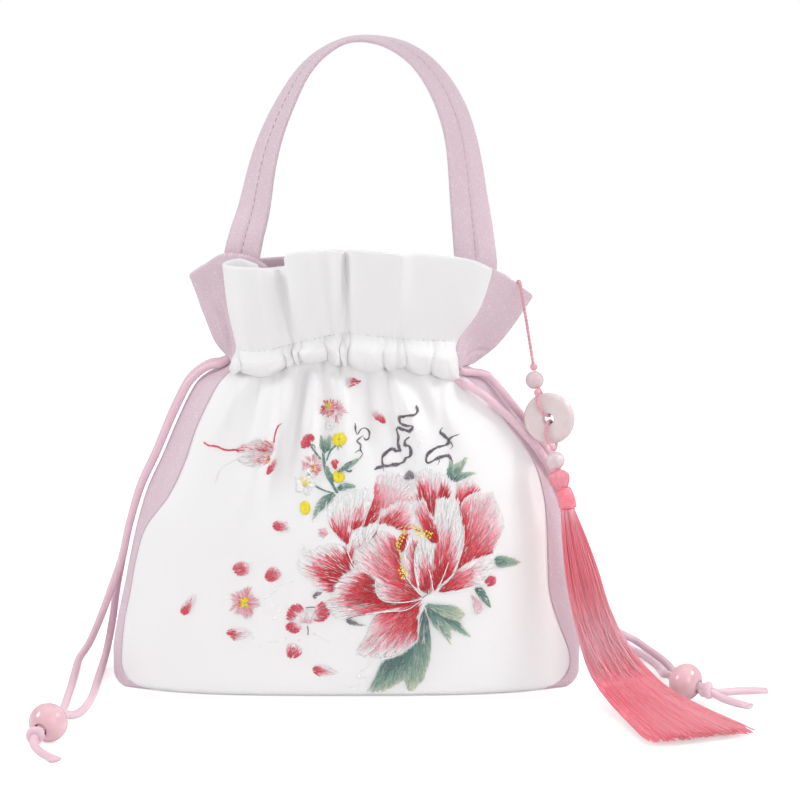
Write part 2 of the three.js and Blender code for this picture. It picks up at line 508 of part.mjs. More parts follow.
// Smooth grid through guides: each guide is a list of points going up.
function loftGrid(guides, columns, levels) {
  const grid = levels.map(() => []);
  for (let i = 0; i <= columns; i += 1) {
    const share = i / columns;
    const guide = guides[0].map((_, level) => lineAt(guides.map((points) => points[level]), share));
    levels.forEach((level, j) => {
      grid[j].push(new THREE.Vector3(...lineAt(guide, level)));
    });
  }
  return grid;
}

function frillGuides(pleats, side) {
  const place = ([across, out, height]) => [
    across * CASING_HALF_WIDTH, side * out * CASING_DEPTH, height * FRILL_TOP,
  ];
  return pleats.map((pleat) => {
    const low = place(pleat.low);
    const stitch = place(pleat.stitch);
    const top = place(pleat.top);
    const middle = low.map((value, k) => lerp(value, stitch[k], 0.5));
    middle[1] += side * PUFF * pleat.puff;
    const flare = low.map((value, k) => lerp(stitch[k], top[k], k === 2 ? 0.45 : 0.62));
    return [low, middle, stitch, flare, top];
  });
}

function wingGuides(rows) {
  const place = ([across, back, height]) => [
    across * CASING_HALF_WIDTH, back * CASING_DEPTH, height * FRILL_TOP,
  ];
  return rows.map((row) => [place(row.low), place(row.waist), place(row.middle), place(row.top)]);
}

const FRILL_LEVELS = [0, 0.125, 0.25, 0.375, 0.5, 0.62, 0.8, 1];
const WING_LEVELS = [0, 0.2, 0.4, 0.6, 0.8, 1];

// Ring-by-ring solid along a line of frames: each ring is a list of points, closed at both ends.
function ringSolid(rings) {
  const count = rings[0].length;
  const positions = [];
  rings.forEach((ring) => ring.forEach((p) => positions.push(p.x, p.y, p.z)));
  const index = [];
  for (let j = 0; j < rings.length - 1; j += 1) {
    for (let i = 0; i < count; i += 1) {
      const a = j * count + i;
      const b = j * count + (i + 1) % count;
      index.push(a, b, b + count, a, b + count, a + count);
    }
  }
  const closeEnd = (ringIndex, flip) => {
    const centre = new THREE.Vector3();
    rings[ringIndex].forEach((p) => centre.add(p));
    centre.divideScalar(count);
    const hub = positions.length / 3;
    positions.push(centre.x, centre.y, centre.z);
    for (let i = 0; i < count; i += 1) {
      const a = ringIndex * count + i;
      const b = ringIndex * count + (i + 1) % count;
      index.push(...(flip ? [hub, b, a] : [hub, a, b]));
    }
  };
  closeEnd(0, true);
  closeEnd(rings.length - 1, false);
  const geometry = new THREE.BufferGeometry();
  geometry.setAttribute('position', new THREE.Float32BufferAttribute(positions, 3));
  geometry.setIndex(index);
  return geometry;
}

// Frames along a line: each has its point, its way forward and two cross ways.
function framesAlong(points, steps, firstCross) {
  const frames = [];
  let cross = new THREE.Vector3(...firstCross);
  for (let j = 0; j <= steps; j += 1) {
    const share = j / steps;
    const point = new THREE.Vector3(...lineAt(points, share));
    const ahead = new THREE.Vector3(...lineAt(points, Math.min(1, share + 0.002)));
    const behind = new THREE.Vector3(...lineAt(points, Math.max(0, share - 0.002)));
    const way = ahead.sub(behind).normalize();
    cross = cross.clone().addScaledVector(way, -cross.dot(way)).normalize();
    const second = new THREE.Vector3().crossVectors(way, cross);
    frames.push({ point, way, cross, second, share });
  }
  return frames;
}

function taperedTube(points, steps, sides, firstCross, radiusAt) {
  const rings = framesAlong(points, steps, firstCross).map((frame) => {
    const [wide, thin] = radiusAt(frame.share);
    return Array.from({ length: sides }, (_, i) => {
      const angle = (i / sides) * Math.PI * 2;
      return frame.point.clone()
        .addScaledVector(frame.cross, Math.cos(angle) * wide)
        .addScaledVector(frame.second, Math.sin(angle) * thin);
    });
  });
  return ringSolid(rings);
}

function handleGeometry() {
  const steps = 34;
  const points = HANDLE_LINE.map((row) => row.at);
  const turns = HANDLE_LINE.map((row) => [row.turn]);
  const rings = framesAlong(points, steps, [0, 1, 0]).map((frame) => {
    const turn = THREE.MathUtils.degToRad(lineAt(turns, frame.share)[0]);
    const outward = new THREE.Vector3().crossVectors(frame.way, new THREE.Vector3(0, -1, 0)).negate();
    outward.normalize();
    const wide = new THREE.Vector3(0, 1, 0).multiplyScalar(Math.cos(turn)).addScaledVector(outward, Math.sin(turn));
    wide.addScaledVector(frame.way, -wide.dot(frame.way)).normalize();
    const thick = new THREE.Vector3().crossVectors(frame.way, wide).normalize();
    const w = STRAP_WIDTH / 2;
    const t = STRAP_CLOTH / 2;
    const outline = [[-w, -t * 0.5], [0, -t], [w, -t * 0.5], [w, t * 0.5], [0, t], [-w, t * 0.5]];
    return outline.map(([a, b]) => frame.point.clone().addScaledVector(wide, a).addScaledVector(thick, b));
  });
  return ringSolid(rings);
}

// Round tube along a smooth line, by sweeping a circle.
function cordGeometry(points, radius, steps, sides) {
  const line = new THREE.CatmullRomCurve3(points.map((p) => new THREE.Vector3(...p)), false, 'centripetal');
  const circle = new THREE.Shape();
  for (let i = 0; i < sides; i += 1) {
    const angle = (i / sides) * Math.PI * 2;
    const x = Math.cos(angle) * radius;
    const y = Math.sin(angle) * radius;
    if (i === 0) {
      circle.moveTo(x, y);
    } else {
      circle.lineTo(x, y);
    }
  }
  circle.closePath();
  return new THREE.ExtrudeGeometry(circle, { steps, extrudePath: line, bevelEnabled: false });
}

// Round bead with a hole along its own Z.
function beadGeometry(radius, hole, segments, flatten) {
  const reach = Math.sqrt(radius * radius - hole * hole);
  const startAngle = Math.asin(hole / radius);
  const profile = [];
  const arcs = 6;
  for (let i = 0; i <= arcs; i += 1) {
    const angle = lerp(startAngle, Math.PI - startAngle, i / arcs);
    profile.push(new THREE.Vector2(Math.sin(angle) * radius, -Math.cos(angle) * radius * flatten));
  }
  profile.push(new THREE.Vector2(hole, reach * flatten));
  profile.push(new THREE.Vector2(hole, -reach * flatten));
  const clean = profile.filter((p, i) => i === 0 || p.distanceTo(profile[i - 1]) > 0.001);
  if (clean[0].distanceTo(clean[clean.length - 1]) > 0.001) {
    clean.push(clean[0].clone());
  }
  return new THREE.LatheGeometry(clean, segments);
}

function toManifold(geometry) {
  const plain = geometry.clone();
  plain.deleteAttribute('normal');
  plain.deleteAttribute('uv');
  const merged = mergeVertices(plain, 0.0001);
  return new wasm.Manifold(new wasm.Mesh({
    numProp: 3,
    vertProperties: new Float32Array(merged.attributes.position.array),
    triVerts: new Uint32Array(merged.index.array),
  }));
}

function fromManifold(solid) {
  const mesh = solid.getMesh();
  const geometry = new THREE.BufferGeometry();
  geometry.setAttribute('position', new THREE.Float32BufferAttribute(mesh.vertProperties, 3));
  geometry.setIndex(new THREE.Uint32BufferAttribute(mesh.triVerts, 1));
  return geometry;
}

function fuse(geometries) {
  return fromManifold(geometries.map(toManifold).reduce((whole, piece) => whole.add(piece)));
}

// Disc with a small hole, standing on edge: lathed about its own Z.
function discGeometry() {
  const half = DISC_THICKNESS / 2;
  const soft = half * 0.55;
  const profile = [
    [DISC_HOLE, -half + 0.8], [DISC_HOLE + 1.2, -half], [DISC_RADIUS - soft, -half], [DISC_RADIUS - soft * 0.35, -half * 0.72],
    [DISC_RADIUS, 0], [DISC_RADIUS - soft * 0.35, half * 0.72], [DISC_RADIUS - soft, half], [DISC_HOLE + 1.2, half],
    [DISC_HOLE, half - 0.8], [DISC_HOLE, -half + 0.8],
  ];
  return new THREE.LatheGeometry(profile.map(([x, y]) => new THREE.Vector2(x, y)), 20);
}

function along(from, way, distance) {
  return from.map((value, k) => value + way[k] * distance);
}

// Neck through a bead, the knot beyond it and its loose ends, in one body.
function knotGeometry(beadAt, beadWay, tails) {
  const way = new THREE.Vector3(...beadWay).normalize().toArray();
  const neckRadius = BEAD_HOLE_RADIUS - BEAD_FIT;
  const neck = taperedTube(
    [along(beadAt, way, -BEAD_RADIUS * 0.86), along(beadAt, way, BEAD_RADIUS * 1.05)],
    1, 8, [0, 0, 1], () => [neckRadius, neckRadius],
  );
  const knotAt = along(beadAt, way, BEAD_RADIUS + 2.6);
  const knot = new THREE.IcosahedronGeometry(3.4, 1);
  knot.translate(...knotAt);
  const ends = tails.map((points) => taperedTube(
    [along(beadAt, way, BEAD_RADIUS + 2.0), ...points.slice(1)], 7, 6, [0, 0, 1],
    (share) => [TAIL_RADIUS * (1 + 0.35 * smooth((share - 0.75) * 4)), TAIL_RADIUS],
  ));
  return fuse([neck, knot, ...ends]);
}

// Thread from the wing's edge down to the knot above the upper bead.
function upperThreadGeometry() {
  const drop = [...PENDANT_HOOK, ...PENDANT_DROP];
  const endAt = [UPPER_BEAD_AT[0] - 0.4, UPPER_BEAD_AT[1] + 0.6, UPPER_BEAD_AT[2] + SMALL_BEAD_RADIUS + 1.8];
  const line = cordGeometry([...drop.slice(0, -1), endAt], THREAD_RADIUS, 12, 6);
  const knot = new THREE.IcosahedronGeometry(1.7, 1);
  knot.translate(...endAt);
  return fuse([line, knot]);
}

// Thread in front of the disc, with its knots above and below and its turn through the hole.
function lowerThreadGeometry() {
  const front = DISC_AT[1] - DISC_THICKNESS / 2 - THREAD_RADIUS - 0.5;
  const start = [UPPER_BEAD_AT[0] + 1.0, UPPER_BEAD_AT[1] - 4.4, UPPER_BEAD_AT[2] - SMALL_BEAD_RADIUS - 0.8];
  const end = [LOWER_BEAD_AT[0] - 0.9, LOWER_BEAD_AT[1] + 0.6, LOWER_BEAD_AT[2] + SMALL_BEAD_RADIUS + 1.6];
  const line = cordGeometry([
    start, [86.4, front - 0.6, 131.4], [88.3, front - 0.6, 124.6], [89.2, front - 0.5, 119.4], [90.4, front - 0.2, 114.0], end,
  ], THREAD_RADIUS, 10, 6);
  const knots = [start, end].map((at) => {
    const knot = new THREE.IcosahedronGeometry(1.6, 1);
    knot.translate(...at);
    return knot;
  });
  return fuse([line, ...knots]);
}

// Tassel: loop and knot at the head, wrapped neck and a skirt of locks that fans out on the floor.
function tasselGeometry() {
  const head = taperedTube(
    [along(LOWER_BEAD_AT, [0.22, -0.2, -0.95], SMALL_BEAD_RADIUS + 0.6), TASSEL_HEAD_AT,
      [95.4, -29.6, 93.4], TASSEL_WRAP_AT, [97.5, -31.4, 84.0]],
    8, 10, [1, 0, 0],
    (share) => {
      const swell = share < 0.5 ? Math.sin(Math.PI * clamp01(share / 0.5)) : 0;
      const radius = share < 0.5 ? 1.6 + (TASSEL_HEAD_RADIUS - 1.6) * swell : lerp(3.2, 4.4, smooth((share - 0.5) * 3));
      return [radius, radius * 0.92];
    },
  );
  const locks = LOCKS.map((lock) => {
    const points = SKIRT_LEFT.map((left, i) => {
      const right = SKIRT_RIGHT[i];
      const share = i / (SKIRT_LEFT.length - 1);
      const place = lerp(0.5, lock.place, 0.55 + 0.37 * share);
      const point = left.map((value, k) => lerp(value, right[k], place));
      const lift = lock.layer * LOCK_THICKNESS * 0.8 * (1 - 0.55 * smooth((share - 0.5) * 3));
      point[1] -= lift * (1 - smooth((share - 0.55) * 4));
      point[2] += Math.max(0, lift) * smooth((share - 0.55) * 4);
      return point;
    });
    const end = points.length - 1;
    points[end] = points[end].map((value, k) => lerp(points[end - 1][k], value, lock.reach));
    return taperedTube(points, 9, 6, [1, 0, 0], (share) => {
      const grow = lerp(0.62, 1.15, smooth(share * 1.6));
      const tip = 1 - 0.62 * smooth((share - 0.72) / 0.28);
      return [LOCK_WIDTH * grow * tip, LOCK_THICKNESS * lerp(0.95, 0.78, share) * tip];
    });
  });
  return fuse([head, ...locks]);
}

const PAINT = {
  white: { color: 0xf4f1f0, roughness: 0.55, metalness: 0 },
  pink: { color: 0xdcc3d0, roughness: 0.5, metalness: 0 },
  cord: { color: 0xf0c6d0, roughness: 0.5, metalness: 0 },
  bead: { color: 0xe8b4bc, roughness: 0.15, metalness: 0 },
  quartz: { color: 0xeed7da, roughness: 0.15, metalness: 0 },
  jade: { color: 0xf3eeec, roughness: 0.2, metalness: 0 },
  thread: { color: 0xee9dab, roughness: 0.45, metalness: 0 },
  tassel: { color: 0xf07f8e, roughness: 0.4, metalness: 0 },
};

const purse = new THREE.Group();
purse.name = 'purse';

function addPiece(name, geometry, paint) {
  const mesh = new THREE.Mesh(geometry, new THREE.MeshStandardMaterial(PAINT[paint]));
  mesh.name = name;
  purse.add(mesh);
  return mesh;
}

function turnTo(mesh, at, way) {
  mesh.position.set(...at);
  mesh.quaternion.setFromUnitVectors(new THREE.Vector3(0, 1, 0), new THREE.Vector3(...way).normalize());
}

addPiece('front_panel', panelGeometry(-1, PANEL_COLUMNS), 'white');
addPiece('back_panel', panelGeometry(1, PANEL_COLUMNS / 2), 'white');
addPiece('gusset', gussetGeometry(), 'pink');
addPiece('front_frill', sheetSolid(loftGrid(frillGuides(FRONT_PLEATS, -1), 40, FRILL_LEVELS), FRILL_CLOTH), 'white');
addPiece('back_frill', sheetSolid(loftGrid(frillGuides(BACK_PLEATS, 1), 20, FRILL_LEVELS), FRILL_CLOTH), 'white');
addPiece('left_wing', sheetSolid(loftGrid([...wingGuides(LEFT_WING)].reverse(), 14, WING_LEVELS), CLOTH), 'pink');
addPiece('right_wing', sheetSolid(loftGrid(wingGuides(RIGHT_WING), 14, WING_LEVELS), CLOTH), 'pink');
addPiece('handle', handleGeometry(), 'pink');

const cordRadius = CORD_DIAMETER / 2;
addPiece('left_cord_front', cordGeometry(LEFT_CORD_FRONT, cordRadius, 20, 8), 'cord');
addPiece('left_cord_back', cordGeometry(LEFT_CORD_BACK, cordRadius, 20, 8), 'cord');
addPiece('right_cord_front', cordGeometry(RIGHT_CORD_FRONT, cordRadius, 20, 8), 'cord');
addPiece('right_cord_back', cordGeometry(RIGHT_CORD_BACK, cordRadius, 20, 8), 'cord');

turnTo(addPiece('left_bead', beadGeometry(BEAD_RADIUS, BEAD_HOLE_RADIUS, 14, 0.92), 'bead'), LEFT_BEAD_AT, LEFT_BEAD_WAY);
turnTo(addPiece('right_bead', beadGeometry(BEAD_RADIUS, BEAD_HOLE_RADIUS, 14, 0.86), 'bead'), RIGHT_BEAD_AT, RIGHT_BEAD_WAY);
addPiece('left_knot', knotGeometry(LEFT_BEAD_AT, LEFT_BEAD_WAY, LEFT_TAILS), 'cord');
addPiece('right_knot', knotGeometry(RIGHT_BEAD_AT, RIGHT_BEAD_WAY, RIGHT_TAILS), 'cord');

addPiece('pendant_upper_thread', upperThreadGeometry(), 'thread');
const upperBead = addPiece('upper_bead', beadGeometry(SMALL_BEAD_RADIUS, SMALL_BEAD_HOLE, 10, 1), 'quartz');
turnTo(upperBead, UPPER_BEAD_AT, [-0.3, 0.2, 1]);
const disc = addPiece('jade_disc', discGeometry(), 'jade');
disc.position.set(...DISC_AT);
disc.rotation.z = THREE.MathUtils.degToRad(DISC_TURN);
addPiece('pendant_lower_thread', lowerThreadGeometry(), 'thread');
const lowerBead = addPiece('lower_bead', beadGeometry(SMALL_BEAD_RADIUS, SMALL_BEAD_HOLE, 10, 1), 'quartz');
turnTo(lowerBead, LOWER_BEAD_AT, [-0.22, 0.2, 0.95]);
addPiece('tassel', tasselGeometry(), 'tassel');

export default purse;
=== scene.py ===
"""Embroidered drawstring purse: the looks of its pieces over the solids of the frame."""
import math

import bpy
import numpy as np
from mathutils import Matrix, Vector


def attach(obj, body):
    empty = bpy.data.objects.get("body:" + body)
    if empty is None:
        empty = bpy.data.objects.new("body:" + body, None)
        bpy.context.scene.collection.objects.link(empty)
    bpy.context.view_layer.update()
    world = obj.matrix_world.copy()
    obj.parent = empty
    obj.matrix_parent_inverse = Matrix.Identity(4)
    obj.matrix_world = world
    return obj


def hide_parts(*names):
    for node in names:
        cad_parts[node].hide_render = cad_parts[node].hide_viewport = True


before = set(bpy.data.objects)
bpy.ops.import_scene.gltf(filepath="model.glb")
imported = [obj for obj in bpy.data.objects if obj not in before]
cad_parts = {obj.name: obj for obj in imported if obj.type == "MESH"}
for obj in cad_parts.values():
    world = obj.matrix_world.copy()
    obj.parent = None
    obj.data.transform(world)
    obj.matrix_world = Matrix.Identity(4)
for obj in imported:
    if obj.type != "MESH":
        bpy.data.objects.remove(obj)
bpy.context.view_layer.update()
MM = 0.001

# ---- Sizes of the cloth, in millimetres, as in the solids
HALF_WIDTH = 107.0
HALF_DEPTH = 40.0
BODY_HEIGHT = 148.0
CLOTH = 1.8
FRILL_CLOTH = 1.6
SEAM_GAP = 0.16
BASE_ROUND = 4.0
PANEL_CORNER = 10.0
PANEL_FOOT = 2.0
PANEL_TOP = 1.015
BASE_EDGE_SHARE = 0.2
FOLD_START = 0.05
FOLD_EDGE = 0.12
PINCH_SPREAD = 0.024
PINCH_DEPTH = 1.5
SEAM_DIP = 0.9
SEAM_DIP_WIDTH = 0.8
CASING_HALF_WIDTH = 50.0
CASING_DEPTH = 26.1
FRILL_TOP = 1.338 * BODY_HEIGHT
PUFF = 2.6
STRAP_WIDTH = 18.0
STRAP_CLOTH = 2.4
CORD_DIAMETER = 3.6
BEAD_RADIUS = 8.2
BEAD_HOLE = 2.9
SMALL_BEAD_RADIUS = 4.0
SMALL_BEAD_HOLE = 1.2
DISC_RADIUS = 11.4
DISC_THICKNESS = 5.4
DISC_HOLE = 2.2

# Sections of the body: height, left, right, left seam, right seam, depth and squareness.
BODY_COLUMNS = ("height", "left", "right", "seam_left", "seam_right", "depth", "square")
BODY_SECTIONS = [
    (0.00, 1.000, 0.990, 0.956, 0.935, 0.88, 3.0),
    (0.10, 1.001, 0.993, 0.950, 0.940, 0.95, 2.9),
    (0.20, 0.978, 0.980, 0.937, 0.893, 1.00, 2.7),
    (0.30, 0.947, 0.961, 0.908, 0.850, 1.02, 2.6),
    (0.40, 0.918, 0.942, 0.882, 0.841, 1.02, 2.5),
    (0.50, 0.885, 0.918, 0.835, 0.836, 1.00, 2.5),
    (0.60, 0.841, 0.886, 0.735, 0.822, 0.95, 2.4),
    (0.70, 0.776, 0.826, 0.667, 0.778, 0.88, 2.4),
    (0.80, 0.716, 0.738, 0.620, 0.684, 0.79, 2.4),
    (0.90, 0.648, 0.634, 0.554, 0.580, 0.68, 2.6),
    (0.94, 0.602, 0.580, 0.520, 0.520, 0.62, 2.8),
    (0.98, 0.500, 0.480, 0.465, 0.445, 0.55, 3.0),
    (1.03, 0.440, 0.430, 0.410, 0.400, 0.50, 3.2),
]

# Folds below the casing: across at the top and the foot, foot height, width and rise.
BODY_FOLDS = [
    (-0.37, -0.62, 0.72, 0.16, 0.10),
    (-0.235, -0.42, 0.55, 0.11, 0.17),
    (-0.17, -0.22, 0.66, 0.08, -0.10),
    (-0.11, -0.16, 0.64, 0.09, 0.13),
    (-0.02, -0.01, 0.72, 0.08, 0.10),
    (0.08, 0.12, 0.70, 0.09, -0.10),
    (0.19, 0.34, 0.70, 0.11, 0.13),
    (0.30, 0.52, 0.72, 0.14, 0.08),
]

# Pleats of the front frill: (across, out, height) at its low edge, its stitch line and its top,
# as shares of the casing's half width, its depth and the frill's top, then the tunnel's puff.
FRONT_PLEATS = [
    ((-0.98, 0.56, 0.742), (-0.90, 0.56, 0.786), (-0.76, 0.66, 0.962), 0.0),
    ((-1.02, 0.68, 0.740), (-0.94, 0.66, 0.785), (-0.92, 0.58, 0.973), 0.0),
    ((-1.01, 0.84, 0.736), (-0.95, 0.82, 0.783), (-1.06, 0.88, 0.968), 0.3),
    ((-0.90, 0.94, 0.730), (-0.85, 0.98, 0.778), (-0.94, 1.24, 0.964), 0.9),
    ((-0.70, 0.95, 0.727), (-0.68, 1.00, 0.780), (-0.76, 1.28, 0.963), 1.0),
    ((-0.55, 0.92, 0.735), (-0.55, 0.97, 0.787), (-0.67, 1.12, 0.960), 0.6),
    ((-0.48, 0.89, 0.748), (-0.48, 0.88, 0.790), (-0.59, 0.86, 0.958), 0.0),
    ((-0.42, 0.92, 0.753), (-0.43, 0.96, 0.794), (-0.52, 1.02, 0.965), 0.6),
    ((-0.30, 0.96, 0.758), (-0.33, 1.02, 0.801), (-0.50, 1.26, 0.991), 1.0),
    ((-0.19, 0.93, 0.757), (-0.21, 1.00, 0.808), (-0.33, 1.36, 0.998), 0.6),
    ((-0.13, 0.90, 0.754), (-0.13, 0.94, 0.812), (-0.17, 1.28, 1.001), 0.0),
    ((-0.06, 0.93, 0.750), (-0.06, 1.00, 0.816), (-0.04, 1.38, 1.002), 0.6),
    ((0.00, 0.90, 0.746), (0.00, 0.90, 0.817), (0.01, 1.16, 0.998), 0.0),
    ((0.07, 0.94, 0.742), (0.07, 1.01, 0.817), (0.07, 1.37, 1.002), 0.7),
    ((0.22, 0.97, 0.738), (0.22, 1.04, 0.813), (0.26, 1.39, 0.999), 1.0),
    ((0.38, 0.94, 0.740), (0.40, 1.00, 0.808), (0.42, 1.36, 0.995), 0.6),
    ((0.45, 0.90, 0.743), (0.46, 0.95, 0.806), (0.50, 1.38, 0.992), 0.0),
    ((0.53, 0.93, 0.738), (0.54, 1.00, 0.804), (0.62, 1.25, 0.992), 0.7),
    ((0.73, 0.95, 0.727), (0.73, 1.00, 0.802), (0.88, 1.18, 0.987), 1.0),
    ((0.92, 0.88, 0.719), (0.90, 0.92, 0.799), (1.12, 1.20, 0.976), 0.5),
    ((1.00, 0.76, 0.716), (0.98, 0.80, 0.796), (1.27, 1.10, 0.958), 0.0),
]
BACK_PLEATS = [
    ((0.98, 0.72, 0.735), (0.94, 0.70, 0.795), (1.12, 0.98, 0.925), 0.0),
    ((0.80, 0.94, 0.735), (0.78, 0.96, 0.795), (0.95, 1.20, 0.930), 0.8),
    ((0.58, 0.92, 0.738), (0.57, 0.96, 0.797), (0.68, 1.12, 0.932), 0.6),
    ((0.46, 0.90, 0.742), (0.46, 0.90, 0.800), (0.54, 1.00, 0.930), 0.0),
    ((0.25, 0.96, 0.742), (0.25, 1.00, 0.803), (0.32, 1.24, 0.934), 1.0),
    ((0.05, 0.90, 0.745), (0.06, 0.90, 0.803), (0.10, 1.06, 0.932), 0.0),
    ((-0.15, 0.96, 0.745), (-0.15, 1.00, 0.803), (-0.16, 1.24, 0.934), 1.0),
    ((-0.36, 0.90, 0.742), (-0.36, 0.90, 0.800), (-0.42, 1.06, 0.930), 0.0),
    ((-0.58, 0.96, 0.738), (-0.56, 0.99, 0.797), (-0.66, 1.18, 0.928), 1.0),
    ((-0.80, 0.92, 0.735), (-0.76, 0.94, 0.793), (-0.84, 1.12, 0.924), 0.6),
    ((-0.99, 0.57, 0.737), (-0.91, 0.57, 0.788), (-0.94, 0.94, 0.918), 0.0),
]
# Creases under the gathered top: place, drift for each 10 mm down, length, depth and width.
PINCHES = [
    (-44.0, -2.2, 22, 0.9, 1.6), (-36.8, -1.2, 20, 1.1, 1.3), (-31.4, -1.1, 14, 0.5, 1.4),
    (-27.4, -0.9, 46, 2.0, 1.5), (-19.6, -0.5, 12, 0.5, 1.2), (-10.0, -0.3, 36, 1.7, 1.3),
    (-2.8, 0.1, 36, 1.7, 1.2), (17.6, 1.8, 38, 2.0, 1.5), (22.6, 1.9, 15, 0.7, 1.1),
    (30.4, 2.0, 18, 0.6, 1.5), (39.4, 1.4, 28, 1.3, 1.4), (45.0, 3.2, 18, 0.8, 1.5),
]
# Pink side pieces from the front seam to the back seam: low edge, waist, middle and top.
LEFT_WING = [
    ((-1.00, -0.50, 0.750), (-0.90, -0.47, 0.788), (-0.84, -0.47, 0.87), (-0.70, -0.48, 0.957)),
    ((-1.03, -0.38, 0.750), (-1.00, -0.38, 0.786), (-0.98, -0.43, 0.87), (-0.86, -0.44, 0.977)),
    ((-1.05, -0.26, 0.750), (-1.05, -0.28, 0.785), (-1.08, -0.34, 0.87), (-1.08, -0.36, 0.980)),
    ((-1.07, -0.12, 0.750), (-1.09, -0.16, 0.784), (-1.15, -0.20, 0.86), (-1.24, -0.24, 0.956)),
    ((-1.08, 0.00, 0.750), (-1.18, 0.00, 0.782), (-1.28, -0.02, 0.85), (-1.39, -0.10, 0.930)),
    ((-1.07, 0.16, 0.750), (-1.10, 0.18, 0.784), (-1.18, 0.18, 0.86), (-1.26, 0.12, 0.944)),
    ((-1.05, 0.36, 0.750), (-1.00, 0.40, 0.786), (-0.92, 0.40, 0.87), (-0.88, 0.38, 0.958)),
    ((-1.01, 0.54, 0.750), (-0.90, 0.56, 0.788), (-0.74, 0.55, 0.87), (-0.55, 0.54, 0.964)),
]
RIGHT_WING = [
    ((1.02, -0.70, 0.738), (0.995, -0.745, 0.790), (1.12, -0.88, 0.87), (1.29, -1.04, 0.954)),
    ((1.06, -0.46, 0.737), (1.07, -0.50, 0.790), (1.21, -0.62, 0.86), (1.39, -0.72, 0.938)),
    ((1.11, -0.30, 0.735), (1.19, -0.30, 0.786), (1.34, -0.36, 0.84), (1.51, -0.42, 0.914)),
    ((1.15, -0.10, 0.734), (1.33, -0.10, 0.770), (1.48, -0.12, 0.82), (1.655, -0.14, 0.884)),
    ((1.13, 0.12, 0.735), (1.30, 0.16, 0.775), (1.46, 0.16, 0.82), (1.60, 0.14, 0.890)),
    ((1.07, 0.40, 0.738), (1.10, 0.42, 0.785), (1.22, 0.48, 0.85), (1.38, 0.50, 0.920)),
    ((1.02, 0.60, 0.740), (0.98, 0.62, 0.790), (1.08, 0.76, 0.87), (1.20, 0.86, 0.940)),
]
# Handle: x, y, z of the strap's middle and the turn of its face in degrees.
HANDLE_LINE = [
    (-45.6, -5.0, 174.0, 60), (-46.2, -5.0, 190.0, 59), (-43.9, -4.2, 202.0, 54),
    (-40.6, -3.0, 213.5, 48), (-36.4, -1.0, 233.6, 38), (-32.0, 0.0, 247.5, 31),
    (-25.5, 0.0, 261.6, 24), (-18.0, 0.0, 274.0, 16), (-9.0, 0.0, 282.5, 9),
    (2.0, 0.0, 287.6, 4), (14.8, -0.5, 287.4, 8), (27.0, -1.5, 282.8, 18),
    (37.1, -2.5, 274.0, 28), (45.5, -4.0, 260.4, 38), (51.0, -6.0, 243.0, 46),
    (54.3, -9.0, 218.0, 60), (56.8, -13.0, 196.0, 74), (57.1, -14.2, 188.0, 78),
    (56.0, -14.4, 177.0, 78),
]
LEFT_CORD_FRONT = [
    (-51.4, -6.4, 147.8), (-55.9, -8.0, 145.8), (-60.4, -6.4, 144.8), (-65.4, -5.6, 141.9), (-70.4, -6.0, 136.8),
    (-74.5, -6.0, 129.2), (-79.3, -5.5, 119.2), (-85.4, -5.4, 105.2), (-93.0, -5.4, 89.1),
    (-98.5, -5.3, 71.7), (-102.2, -4.2, 56.6), (-107.6, -0.5, 42.0), (-114.4, 7.0, 25.0),
    (-121.0, 14.0, 10.6), (-125.6, 12.0, 3.6), (-125.0, -5.4, 1.95), (-123.5, -25.7, 1.95),
    (-122.7, -39.8, 1.95), (-121.9, -56.0, 2.0), (-121.6, -70.0, 4.2), (-120.9, -82.0, 7.9), (-121.0, -87.6, 8.6),
]
LEFT_CORD_BACK = [
    (-51.6, -1.8, 148.0), (-56.0, -2.4, 146.2), (-60.8, -0.4, 145.2), (-66.0, 0.4, 142.2), (-70.8, 0.4, 137.6),
    (-74.9, 0.4, 130.4), (-79.8, 0.4, 120.0), (-86.0, 0.4, 105.3), (-93.6, 0.4, 89.1),
    (-98.9, 0.6, 71.8), (-102.6, 2.4, 56.4), (-106.4, 6.4, 40.0), (-109.6, 10.6, 22.0),
    (-112.6, 12.6, 8.4), (-113.8, 8.0, 3.0), (-113.7, -1.0, 1.95), (-112.9, -18.6, 1.95),
    (-112.0, -37.0, 1.95), (-112.4, -50.0, 1.95), (-114.0, -62.0, 2.4), (-116.0, -73.0, 5.0),
    (-118.0, -82.0, 9.0), (-120.2, -87.4, 9.0),
]
RIGHT_CORD_FRONT = [
    (48.6, -16.4, 140.2), (52.2, -20.2, 138.4), (56.6, -21.6, 136.6), (61.2, -20.9, 133.6), (66.8, -19.6, 128.6),
    (74.2, -17.0, 121.3), (83.2, -14.6, 111.4), (91.2, -12.3, 100.1), (97.8, -8.9, 86.7),
    (101.8, -4.3, 72.6), (104.6, 0.6, 58.0), (108.2, 8.0, 42.0), (113.2, 19.0, 27.0),
    (119.6, 31.0, 17.0), (127.6, 38.6, 9.0), (136.8, 40.8, 3.6), (142.4, 30.2, 1.95),
    (146.9, 15.0, 1.95), (149.4, -1.1, 2.2), (148.8, -16.0, 4.6), (146.2, -29.4, 8.0), (147.0, -35.2, 8.6),
]
